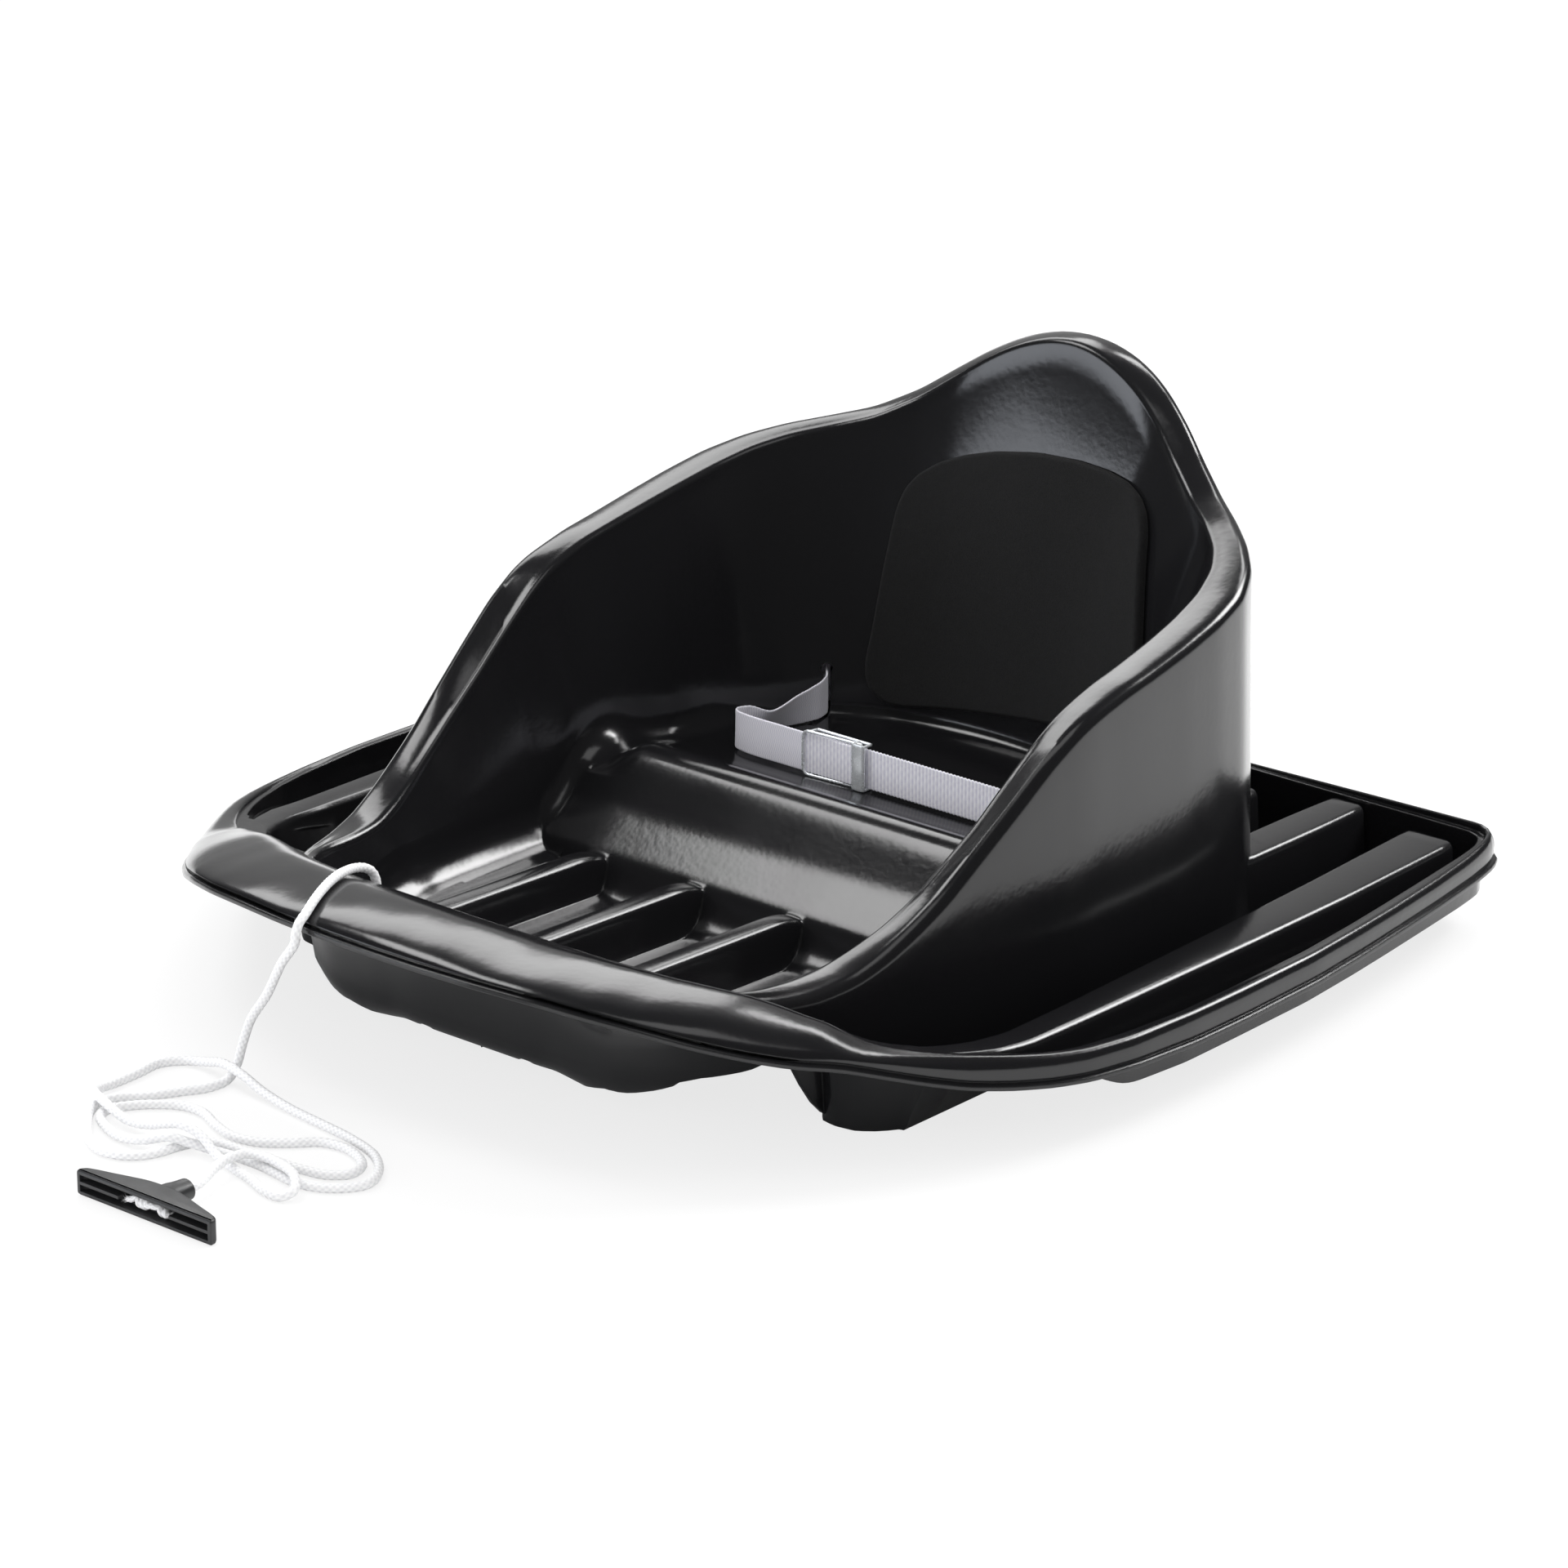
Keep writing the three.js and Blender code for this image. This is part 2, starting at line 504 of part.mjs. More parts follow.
function barBody({ foot, rows }, inset, side) {
  const rings = rows.map(([y, xi, xo]) => {
    const z = along(DECK_PROFILE, y);
    const a = xi + inset;
    const b = xo - inset;
    const base = foot ? foot + inset : a - 2.2;
    const line = [[base, DEEP], [base, foot ? RUNNER_FLOOR - inset : 8], [a, z - 3 - inset],
      [a + 1, z - 1 - inset], [a + 3.2, z - inset], [b - 3.2, z - inset], [b - 1, z - 1 - inset], [b, z - 3 - inset],
      [b + 2.2, 8], [b + 2.2, DEEP]];
    return line.map(([x, h]) => [side * x, y, h]);
  });
  if (inset > 0) {
    rings[0] = rings[0].map(([x, y, z]) => [x, y + inset, z]);
    const tail = rings.length - 1;
    rings[tail] = rings[tail].map(([x, y, z]) => [x, y - inset, z]);
  }
  return loft(rings, false);
}

function box(x0, x1, y0, y1, z0, z1) {
  const g = new THREE.BoxGeometry(x1 - x0, y1 - y0, z1 - z0);
  g.translate((x0 + x1) / 2, (y0 + y1) / 2, (z0 + z1) / 2);
  return solidOf(g);
}

// The deck with everything under its top surface, lowered by the inset.
function deckBody(inset) {
  const ys = DECK_PROFILE.map(([y]) => y);
  let body = underSurface([-300, 300], ys, (x, y) => along(DECK_PROFILE, y) - inset);
  body = body.subtract(wellBody(inset));
  const low = DEEP + 1;
  const laneIn = RUNNER_LANE[0] - inset;
  const laneOut = RUNNER_LANE[1] + inset;
  const rear = WELL_REAR + 2 * WALL; // past the well's rear wall, which stops at the floor
  body = body.add(box(-laneIn, laneIn, 100, rear, low, REAR_FLOOR - inset));
  for (const side of [-1, 1]) {
    const x = [side * laneIn, side * laneOut].sort((a, b) => a - b);
    body = body.add(box(x[0], x[1], -170, rear, low, RUNNER_FLOOR - inset));
    const edge = [[EDGE_PROFILE[0][0], low], ...EDGE_PROFILE.map(([y, z]) => [y, z - inset]),
      [rear, EDGE_FLOOR - inset], [rear, low]];
    const edgeX = [side * (EDGE_LANE + inset), side * 290];
    body = body.add(loft(edgeX.map((at) => edge.map(([y, z]) => [at, y, z])), false, [1, 2]));
    for (const bar of BARS) body = body.add(barBody(bar, inset, side));
  }
  return body;
}

// What is left open under the tub: the bowl itself and the hollow behind the seat.
function hollowOutline() {
  const rows = TUB_STATIONS.slice(0, 8).map(([tx, ty, , ex, ey]) => {
    const w = Math.hypot(ex - tx, ey - ty);
    return [tx + ((ex - tx) / w) * 1.5, ty + ((ey - ty) / w) * 1.5];
  });
  const sides = [[151, -130], [155.5, -110], [157, -60], [157, 190]];
  const rear = TUB_STATIONS.slice(27).map(([tx, ty, , ex, ey]) => {
    const w = Math.hypot(ex - tx, ey - ty);
    return [ex - ((ex - tx) / w) * 1.2, ey - ((ey - ty) / w) * 1.2];
  });
  return [...rows, ...sides, [149, 203], ...rear];
}

function rimOutline(grow) {
  return RIM_STATIONS.map(([xi, yi, , xo, yo]) => {
    const w = Math.hypot(xo - xi, yo - yi);
    return [xi + ((xo - xi) / w) * grow, yi + ((yo - yi) / w) * grow];
  });
}

function shell() {
  const floorUnder = floorBody(WALL);
  const floor = floorBody(0).subtract(floorUnder).intersect(tubMiddle());
  const bowlUnder = floorUnder.intersect(symmetricPrism(hollowOutline(), DEEP + 2, 90));
  const deck = deckBody(0).subtract(deckBody(WALL))
    .intersect(symmetricPrism(rimOutline(1.4), -1, 70))
    .subtract(symmetricPrism(hollowOutline(), DEEP, 100));
  let made = tubWall().subtract(bowlUnder).add(rolledRim()).add(deck).add(floor);
  for (const side of [-1, 1]) made = made.subtract(beltSlot(side));
  made = made.subtract(ropeHole());
  const parts = made.simplify(0.02).decompose();
  return parts.sort((a, b) => b.volume() - a.volume())[0];
}

// The opening in the rear corner of the seat for the belt, with a round top.
function beltSlot(side) {
  const path = [[96, 149], [99, 158.5], SLOT, ...behindSlot];
  const top = new THREE.CylinderGeometry(3.2, 3.2, 40, 10);
  top.rotateZ(Math.PI / 2);
  top.rotateZ(Math.atan2(behindSlot[0][1] - SLOT[1], behindSlot[0][0] - SLOT[0]));
  top.translate(SLOT[0], SLOT[1], BELT_BASE + TAPE_WIDTH + 1.5);
  const cut = tape(path, [0, 1], TAPE + 2 * SLOT_GAP, SLOT_GAP).add(solidOf(top));
  return side > 0 ? cut : cut.mirror([1, 0, 0]);
}

function ropeHole() {
  const [a, , b] = ROPE_PATH;
  const from = new THREE.Vector3(...a);
  const to = new THREE.Vector3(...b);
  const dir = to.clone().sub(from).normalize();
  const g = new THREE.CylinderGeometry(ROPE / 2 + 1.1, ROPE / 2 + 1.1, 22, 12);
  g.applyQuaternion(new THREE.Quaternion().setFromUnitVectors(new THREE.Vector3(0, 1, 0), dir));
  const mid = from.clone().add(to).multiplyScalar(0.5);
  g.translate(mid.x, mid.y, mid.z);
  return solidOf(g);
}

// Depth y of the inside of the backrest at x and height z.
function backWall(x, z) {
  const rows = TUB_STATIONS.slice(20).map((row) => {
    const [tx, ty, tz, ex, ey, , bx, by, radius] = row;
    const level = footLevel(row) + radius;
    const t = clamp((z - level) / (tz - 4 - level), 0, 1);
    const bow = (bowOf(row) * bowShare(t)) / Math.hypot(ex - tx, ey - ty);
    return [lerp(bx, tx, t) - (ex - tx) * bow, lerp(by, ty, t) - (ey - ty) * bow];
  });
  const ax = Math.abs(x);
  for (let i = 1; i < rows.length; i++)
    if (rows[i][0] <= ax) {
      const t = (ax - rows[i][0]) / (rows[i - 1][0] - rows[i][0]);
      return lerp(rows[i][1], rows[i - 1][1], t);
    }
  return rows[rows.length - 1][1];
}

// A point of the pad, a distance in front of the backrest.
function padPoint(x, z, away) {
  const d = 2;
  const sx = (backWall(x + d, z) - backWall(x - d, z)) / (2 * d);
  const sz = (backWall(x, z + d) - backWall(x, z - d)) / (2 * d);
  const n = new THREE.Vector3(sx, -1, sz).normalize().multiplyScalar(away);
  return [x + n.x, backWall(x, z) + n.y, z + n.z];
}

const PAD_SHARES = [-1, -0.97, -0.88, -0.7, -0.5, -0.28, 0, 0.28, 0.5, 0.7, 0.88, 0.97, 1];

function backPad() {
  const turn = (PAD_PLACE.turn * Math.PI) / 180;
  const cos = Math.cos(turn);
  const sin = Math.sin(turn);
  const rings = PAD_ROWS.map(([height, half], k) => {
    const edge = k === 0 || k === PAD_ROWS.length - 1;
    const at = (s, away) => padPoint(PAD_PLACE.x + cos * s * half - sin * height,
      PAD_PLACE.z + sin * s * half + cos * height, away);
    const front = PAD_SHARES.map((s) => at(s,
      FIT * 4 + (edge || Math.abs(s) === 1 ? PAD * 0.45 : Math.abs(s) > 0.96 ? PAD * 0.85 : PAD)));
    const back = [...PAD_SHARES].reverse().map((s) => at(s, FIT * 4));
    return [...front, ...back];
  });
  return loft(rings, false, [0, 1]);
}

// A standing tape of the belt along a path in plan, with its stitched end thicker than the slot.
function tape(path, [from, to], thick, margin) {
  const curve = new THREE.CatmullRomCurve3(path.map(([x, y]) => new THREE.Vector3(x, y, 0)),
    false, "centripetal");
  const count = 30;
  const rings = [];
  for (let i = 0; i <= count; i++) {
    const t = i / count;
    const p = curve.getPointAt(t);
    const d = curve.getTangentAt(t);
    const half = (t < from || t > to ? STITCHED_END : thick) / 2;
    const n = [-d.y * half, d.x * half];
    const low = BELT_BASE - margin;
    const high = BELT_BASE + TAPE_WIDTH + margin;
    rings.push([
      [p.x + n[0], p.y + n[1], low], [p.x + n[0], p.y + n[1], high],
      [p.x - n[0], p.y - n[1], high], [p.x - n[0], p.y - n[1], low],
    ]);
  }
  return loft(rings, false);
}

const STITCHED_END = 5;
const CORNER = [[107, BELT_Y + 11], [108, 116], [106, 133], [101, 148], [99, 158.5], SLOT, ...behindSlot];

function beltFar() {
  const path = [[-14, BELT_Y], [-40, BELT_Y], [-66, BELT_Y], [-92, BELT_Y + 0.4], [-102, BELT_Y + 3],
    ...CORNER.map(([x, y]) => [-x, y])];
  return tape(path, [0, 0.965], TAPE, 0);
}

function beltNear() {
  const y = BELT_Y + TAPE + FIT;
  const path = [[-46, y], [-20, y], [20, y], [60, y], [90, y + 0.4], [102, y + 3], ...CORNER];
  return tape(path, [0, 0.972], TAPE, 0);
}

// Steel slide round both tapes: rails above and below, a wire bar and a flat bar in front and a
// bar behind.
function beltSlide() {
  const x0 = -53;
  const x1 = -8;
  const front = BELT_Y - TAPE / 2 - FIT;
  const behind = BELT_Y + TAPE * 1.5 + FIT * 2;
  const low = BELT_BASE - 0.6;
  const high = BELT_BASE + TAPE_WIDTH + 0.6;
  const rail = 2.4;
  let made = box(x0, x1, front - 1.6, behind + 1.6, high, high + rail)
    .add(box(x0, x1, front - 1.6, behind + 1.6, low - 0.55, low));
  made = made.add(box(x0 + 1, x0 + 5, front - 1.6, front, low - 0.5, high + rail - 0.2));
  made = made.add(box(x1 - 9, x1, front - 1.6, front, low - 0.5, high + rail - 0.2));
  return made.add(box(-34, -27, behind, behind + 1.6, low - 0.5, high + rail - 0.2));
}

function pullRope() {
  const curve = new THREE.CatmullRomCurve3(ROPE_PATH.map((p) => new THREE.Vector3(...p)), false,
    "centripetal");
  const r = ROPE / 2;
  const shape = new THREE.Shape();
  for (let i = 0; i < ROPE_SIDES; i++) {
    const a = (i / ROPE_SIDES) * Math.PI * 2;
    if (i) shape.lineTo(r * Math.cos(a), r * Math.sin(a));
    else shape.moveTo(r, 0);
  }
  return solidOf(new THREE.ExtrudeGeometry(shape, { steps: ROPE_STEPS, extrudePath: curve }));
}

function knot(radii, length, turn, at) {
  const n = radii.length - 1;
  const points = radii.map((r, i) => new THREE.Vector2(r, (i / n - 0.5) * length));
  points.unshift(new THREE.Vector2(0, -length / 2));
  points.push(new THREE.Vector2(0, length / 2));
  const g = new THREE.LatheGeometry(points, 12);
  g.rotateZ(turn);
  g.translate(...at);
  return solidOf(g);
}

// T-handle: an arched grip open on one long side, with a shelf in the hollow and a bored neck.
function ropeHandle() {
  const h = HANDLE.height / 2;
  const face = -6;
  const half = GRIP_BACK.map(([x, y]) => [x, y]);
  half.push([HANDLE.length / 2, face]);
  const outline = [...half, ...[...half].reverse().map(([x, y]) => [-x, y])].slice(0, -1);
  const ring = (inset, z) => grown(outline, -inset).map(([x, y]) => [x, y, z]);
  let made = loft([ring(1.4, -h), ring(0, -h + 1.4), ring(0, h - 1.4), ring(1.4, h)], false, [0, 1]);
  const neck = new THREE.CylinderGeometry(NECK.radius, NECK.root, NECK.length, 16);
  neck.translate(0, NECK.length / 2 - 1, 0);
  neck.scale(1, 1, HANDLE.height / 2 / NECK.root);
  made = made.add(solidOf(neck));
  const w = HANDLE.wall;
  const inner = (z0, z1, x1, depth) => {
    const pts = GRIP_BACK.filter(([x]) => x < x1 - 2).map(([x, y]) => [x, Math.min(y - w, depth)]);
    pts.push([x1, face + 3], [x1, face - 3]);
    return prism([...pts, ...[...pts].reverse().map(([x, y]) => [-x, y])].slice(0, -1), z0, z1);
  };
  made = made.subtract(inner(0.8, h - w, HANDLE.length / 2 - w, 3.4));
  made = made.subtract(inner(-h + w, -0.8, HANDLE.length / 2 - w, 0.8));
  made = made.subtract(box(-17, 17, face - 3, 3.2, -h + w + 0.4, h - w));
  const bore = new THREE.CylinderGeometry(NECK.bore, NECK.bore, NECK.length * 2.5, 12);
  bore.translate(0, NECK.length - 4, 0);
  made = made.subtract(solidOf(bore));
  return made.translate([HANDLE.x, HANDLE.y, HANDLE.z]);
}

const LOOKS = {
  shell: [0x101012, 0.22, 0],
  back_pad: [0x2b2b2d, 0.95, 0],
  belt_far: [0xcfccda, 0.9, 0],
  belt_near: [0xcfccda, 0.9, 0],
  belt_slide: [0xb4b6b8, 0.3, 1],
  pull_rope: [0xf2f2ef, 0.9, 0],
  rope_stop_knot: [0xefefec, 0.9, 0],
  rope_handle: [0x2a2b2d, 0.5, 0],
  handle_knot: [0xe9e9e6, 0.92, 0],
};

const group = new THREE.Group();
function addPiece(name, solid) {
  const m = solid.getMesh();
  const n = m.numProp;
  const v = new Float32Array(m.numVert * 3);
  for (let i = 0; i < m.numVert; i++) v.set(m.vertProperties.subarray(i * n, i * n + 3), i * 3);
  const g = new THREE.BufferGeometry();
  g.setAttribute("position", new THREE.BufferAttribute(v, 3));
  g.setIndex(new THREE.BufferAttribute(m.triVerts, 1));
  const [color, roughness, metalness] = LOOKS[name];
  const mesh = new THREE.Mesh(g, new THREE.MeshStandardMaterial({ color, roughness, metalness }));
  mesh.name = name;
  group.add(mesh);
}

addPiece("shell", shell());
addPiece("back_pad", backPad());
addPiece("belt_far", beltFar());
addPiece("belt_near", beltNear());
addPiece("belt_slide", beltSlide());
addPiece("pull_rope", pullRope());
const [stopX, stopY, stopZ] = ROPE_PATH[0];
addPiece("rope_stop_knot", knot([3, 6, 7, 5.6, 6.6, 7, 5.4, 2.6], STOP_KNOT.length, 0,
  [stopX + 1.2, stopY - STOP_KNOT.length / 2 - STOP_KNOT.gap, stopZ - 0.4]));
addPiece("rope_handle", ropeHandle());
addPiece("handle_knot", knot([1.2, 2.6, 3.2, 2.6, 3.4, 3.6, 3, 3.5, 2.9, 2.4, 1.2], HANDLE_KNOT.length,
  Math.PI / 2, [HANDLE.x, HANDLE.y - HANDLE_KNOT.ahead, HANDLE.z + 0.1]));

export default group;
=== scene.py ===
import math

import bpy
import numpy as np
from mathutils import Matrix, Vector
from mathutils.bvhtree import BVHTree


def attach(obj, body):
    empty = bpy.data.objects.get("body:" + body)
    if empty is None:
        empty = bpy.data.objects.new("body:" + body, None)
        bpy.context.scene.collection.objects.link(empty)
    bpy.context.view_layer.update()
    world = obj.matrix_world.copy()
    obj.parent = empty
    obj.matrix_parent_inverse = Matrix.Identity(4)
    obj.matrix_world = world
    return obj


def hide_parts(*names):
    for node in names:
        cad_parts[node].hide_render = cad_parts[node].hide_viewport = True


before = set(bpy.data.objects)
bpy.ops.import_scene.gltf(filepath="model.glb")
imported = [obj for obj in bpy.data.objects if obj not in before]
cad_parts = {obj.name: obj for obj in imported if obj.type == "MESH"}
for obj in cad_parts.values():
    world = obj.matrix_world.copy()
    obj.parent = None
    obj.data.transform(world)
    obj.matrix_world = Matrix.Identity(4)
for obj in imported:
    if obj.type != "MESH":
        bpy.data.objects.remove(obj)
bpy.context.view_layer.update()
scene = bpy.context.scene
mm = 0.001

# The camera, from the symmetry of the sled in the photograph.
view = {"azimuth": 41.147, "elevation": 20.437, "target": (0.163, -0.170, 0.1795), "distance": 3.083,
        "lens": 149.1, "sensor": 36, "far": 50}
turn, rise = math.radians(view["azimuth"]), math.radians(view["elevation"])
back = Vector((math.sin(turn) * math.cos(rise), -math.cos(turn) * math.cos(rise), math.sin(rise)))
cameraData = bpy.data.cameras.new("camera")
cameraData.lens = view["lens"]
cameraData.sensor_width = view["sensor"]
cameraData.clip_end = view["far"]
camera = bpy.data.objects.new("camera", cameraData)
scene.collection.objects.link(camera)
camera.location = Vector(view["target"]) + back * view["distance"]
camera.rotation_euler = back.to_track_quat("Z", "Y").to_euler()
scene.camera = camera
print("camera done")


# Shape helpers, in millimetres.
def numbers(values):
    return np.asarray(values, float)


def unit(v):
    return v / np.linalg.norm(v, axis=-1, keepdims=True)


def lerp(a, b, t):
    return a + (b - a) * t


def ease(value, start, end):  # 0 before start, 1 after end, with a soft S between
    t = np.clip((value - start) / (end - start), 0, 1)
    return t * t * (3 - 2 * t)


def circle(sides):
    return np.linspace(0, 2 * math.pi, sides, endpoint=False)


def arcOf(start, end, count):  # angles in radians, from degrees
    return np.radians(np.linspace(start, end, count))


def resampled(at, steps, rows):
    return np.stack([np.interp(at, steps, column) for column in rows.T], 1)


def chords(points):
    return np.linalg.norm(np.roll(points, -1, 0) - points, axis=1)


def runOf(line):
    return np.concatenate([[0], np.cumsum(np.linalg.norm(np.diff(line, axis=0), axis=1))])


def newObject(name, points, faces):
    mesh = bpy.data.meshes.new(name)
    mesh.from_pydata((numbers(points) * mm).tolist(), [], faces)
    mesh.update()
    made = bpy.data.objects.new(name, mesh)
    scene.collection.objects.link(made)
    return made


def ringSolid(name, rings, closed=False):  # a skin over rings of points, capped unless it closes on itself
    rings = numbers(rings)
    count, size = rings.shape[:2]
    k = np.arange(count if closed else count - 1)[:, None]
    i = np.arange(size)[None, :]
    k2, i2 = (k + 1) % count, (i + 1) % size
    quads = np.stack([k * size + i, k2 * size + i, k2 * size + i2, k * size + i2], -1).reshape(-1, 4)
    points = rings.reshape(-1, 3)
    a, b, c, d = (points[quads[:, n]] for n in range(4))
    volume = np.einsum("ij,ij->", a, np.cross(b, c)) + np.einsum("ij,ij->", a, np.cross(c, d))
    faces = quads.tolist()
    if not closed:
        ends = [list(range(size)), [(count - 1) * size + n for n in reversed(range(size))]]
        for end in ends:
            o, p, q = points[end[0]], points[end[1:-1]], points[end[2:]]
            volume += (np.cross(p, q) @ o).sum()
        faces += ends
    if volume < 0:
        faces = [face[::-1] for face in faces]
    return newObject(name, points, faces)


def prism(name, outline, low, high):
    outline = numbers(outline)
    return ringSolid(name, [np.column_stack([outline, np.full(len(outline), z)]) for z in (low, high)])


def box(x0, x1, y0, y1, z0, z1):
    return prism("box", [[x0, y0], [x1, y0], [x1, y1], [x0, y1]], z0, z1)


def ringAt(centre, u, v, radius, sides):
    return [centre + radius * (u * math.cos(t) + v * math.sin(t)) for t in circle(sides)]


def rod(name, centre, ahead, u, v, radius, sides, ends):
    return ringSolid(name, [ringAt(centre + ahead * s, u, v, radius, sides) for s in ends])


def remove(spent):
    data = spent.data
    bpy.data.objects.remove(spent)
    bpy.data.meshes.remove(data)


def takeResult(made):  # the modifiers' result becomes the object's own mesh
    result = bpy.data.meshes.new_from_object(made.evaluated_get(bpy.context.evaluated_depsgraph_get()))
    made.modifiers.clear()
    old = made.data
    made.data = result
    bpy.data.meshes.remove(old)
    return made


def combine(base, tool, operation):
    step = base.modifiers.new("step", "BOOLEAN")
    step.operation, step.object, step.solver = operation, tool, "MANIFOLD"
    takeResult(base)
    remove(tool)
    return base


def copyOf(source, flip=False):
    made = source.copy()
    made.data = source.data.copy()
    scene.collection.objects.link(made)
    if flip:
        made.data.transform(Matrix.Diagonal((-1, 1, 1, 1)))
        made.data.flip_normals()
    return made


def shadeByAngle(made, angle):
    made.data.shade_smooth()
    made.data.set_sharp_from_angle(angle=math.radians(angle))


def gaussian(width):
    reach = max(1, int(3 * width))
    kernel = np.exp(-0.5 * (np.arange(-reach, reach + 1) / width) ** 2)
    return reach, kernel / kernel.sum()


def smoothRows(rows, lengths, count, sigma, dense=4000):  # a closed row of stations, smoothed over sigma mm
    steps = np.concatenate([[0], np.cumsum(lengths)])
    fine = resampled(np.linspace(0, steps[-1], dense, endpoint=False), steps, np.vstack([rows, rows[:1]]))
    reach, kernel = gaussian(sigma / steps[-1] * dense)
    padded = np.vstack([fine[-reach:], fine, fine[:reach]])
    soft = np.stack([np.convolve(column, kernel, "valid") for column in padded.T], 1)
    return resampled(np.arange(count) * dense / count, np.arange(dense + 1), np.vstack([soft, soft[:1]]))


def profileOf(points, sigma, step=0.25):  # a height along y, smoothed over sigma mm
    points = numbers(points)
    y = np.arange(points[0, 0], points[-1, 0] + step, step)
    reach, kernel = gaussian(sigma / step)
    soft = np.convolve(np.pad(np.interp(y, points[:, 0], points[:, 1]), reach, "edge"), kernel, "valid")
    return lambda at: np.interp(at, y, soft)


def curveThrough(points, count):  # a centripetal curve through points, sampled evenly
    points = numbers(points)
    steps = np.concatenate([[0], np.cumsum(np.sqrt(np.linalg.norm(np.diff(points, axis=0), axis=1)))])
    ghost = np.vstack([2 * points[0] - points[1], points, 2 * points[-1] - points[-2]])
    t = np.concatenate([[2 * steps[0] - steps[1]], steps, [2 * steps[-1] - steps[-2]]])

    def between(at, ta, tb, a, b):
        return ((tb - at) * a + (at - ta) * b) / (tb - ta)

    dense = []
    for i in range(1, len(ghost) - 2):
        t0, t1, t2, t3 = t[i - 1: i + 3]
        p0, p1, p2, p3 = ghost[i - 1: i + 3]
        u = np.linspace(t1, t2, 40, endpoint=False)[:, None]
        a1, a2, a3 = between(u, t0, t1, p0, p1), between(u, t1, t2, p1, p2), between(u, t2, t3, p2, p3)
        dense.append(between(u, t1, t2, between(u, t0, t2, a1, a2), between(u, t1, t3, a2, a3)))
    dense = np.vstack(dense + [points[-1:]])
    run = runOf(dense)
    return resampled(np.linspace(0, run[-1], count), run, dense)


def mirroredLoop(rows, xColumns):  # from half a loop to the whole, without the two rows on the middle twice
    half = numbers(rows)
    other = half[-2:0:-1].copy()
    other[:, xColumns] *= -1
    return np.vstack([half, other])


def bothHalves(half):
    half = numbers(half)
    joined = np.vstack([half, half[::-1] * (-1, 1)])
    return joined[np.linalg.norm(joined - np.roll(joined, 1, 0), axis=1) > 1e-6]


def grown(outline, distance):  # an outline moved outwards, its corners mitred
    x, y = outline.T
    sign = 1 if np.dot(x, np.roll(y, -1)) > np.dot(y, np.roll(x, -1)) else -1
    before, after = unit(outline - np.roll(outline, 1, 0)), unit(np.roll(outline, -1, 0) - outline)
    n0, n1 = (np.stack([d[:, 1], -d[:, 0]], 1) for d in (before, after))
    middle = unit(n0 + n1)
    return outline + middle * (sign * distance / np.maximum(0.5, (middle * n0).sum(1)))[:, None]


# One moulded piece: bucket tub, rolled rim, corrugated floor with the thigh roll, runner deck.
# A tub station is the wall's inner top x y z, its outer top x y z, its foot x y and the cove's radius.
tubStations = [
    [0, -229, 91.2, 0, -235.5, 91, 0, -218, 11], [30, -227.3, 90.3, 31, -233.8, 90.1, 32, -218, 11],
    [60, -222.1, 87.6, 62, -228.3, 87.4, 62, -216.5, 12], [90, -213.5, 83, 93, -219.3, 82.8, 90, -209, 13],
    [115, -203.6, 77.9, 119, -208.8, 77.7, 112, -199, 13],
    [131, -195, 73.5, 136, -199, 73.2, 126, -184, 14],
    [140.5, -184.5, 71.4, 149, -187, 70.5, 135, -167, 17],
    [145.5, -169, 70, 160, -174, 67.5, 140, -149, 21],
    [147.5, -147, 69.2, 168, -150, 66.8, 143.5, -132, 26],
    [149.5, -128, 70.6, 173.5, -127, 70.2, 145.5, -115, 30],
    [153.5, -111, 76, 177.5, -108, 77.5, 147, -99, 26], [158, -95, 83, 181, -90, 87, 148, -84, 26],
    [162, -78, 92.8, 184, -71, 98.5, 149, -68, 26], [165, -58, 106.5, 187, -49, 115.5, 149.5, -50, 26],
    [167.7, -36, 121.5, 190, -25, 133.5, 150, -32, 26], [169.4, -13, 139.5, 192.3, -2, 151, 150.5, -12, 26],
    [170.6, 10, 156.5, 193.7, 17, 162.5, 151, 10, 20], [171, 24, 164.5, 194.1, 29, 167.5, 151, 23, 20],
    [171, 38, 169.5, 194, 42, 171, 151, 36, 20], [171, 53, 174, 194, 58, 175, 150.5, 50, 20],
    [170.6, 70, 177.3, 193.7, 76, 178, 149.5, 66, 18], [169, 98, 183, 192.7, 106, 184, 145.5, 92, 18],
    [166.8, 122, 188.3, 190.5, 134, 190, 138.5, 115, 18],
    [162.6, 147, 194.5, 185.5, 160, 196.4, 129, 136, 12], [155, 169, 201, 174, 181.5, 203, 117, 153, 8],
    [143.4, 186, 206.3, 158.5, 198.5, 208.4, 103, 167.5, 8],
    [127, 201, 211, 140.5, 213.5, 213, 88, 177.5, 8], [107.6, 213.6, 217.3, 119, 228.2, 219, 73, 184, 8],
    [87, 226, 229.2, 97.5, 241, 230.3, 58, 188.5, 8], [67.8, 235.8, 243.5, 79, 250.5, 244, 45, 191.5, 8],
    [53.4, 240.8, 254.4, 63, 257.4, 254.8, 35, 193, 8], [40.5, 243.6, 262.2, 49, 262.2, 262.4, 26, 194, 8],
    [27.5, 245.4, 268.2, 34.5, 265.3, 268.4, 17.5, 194.6, 8],
    [14, 246.5, 272.4, 18, 267.3, 272.5, 9, 194.9, 8], [0, 247, 274, 0, 268, 274, 0, 195, 8],
]
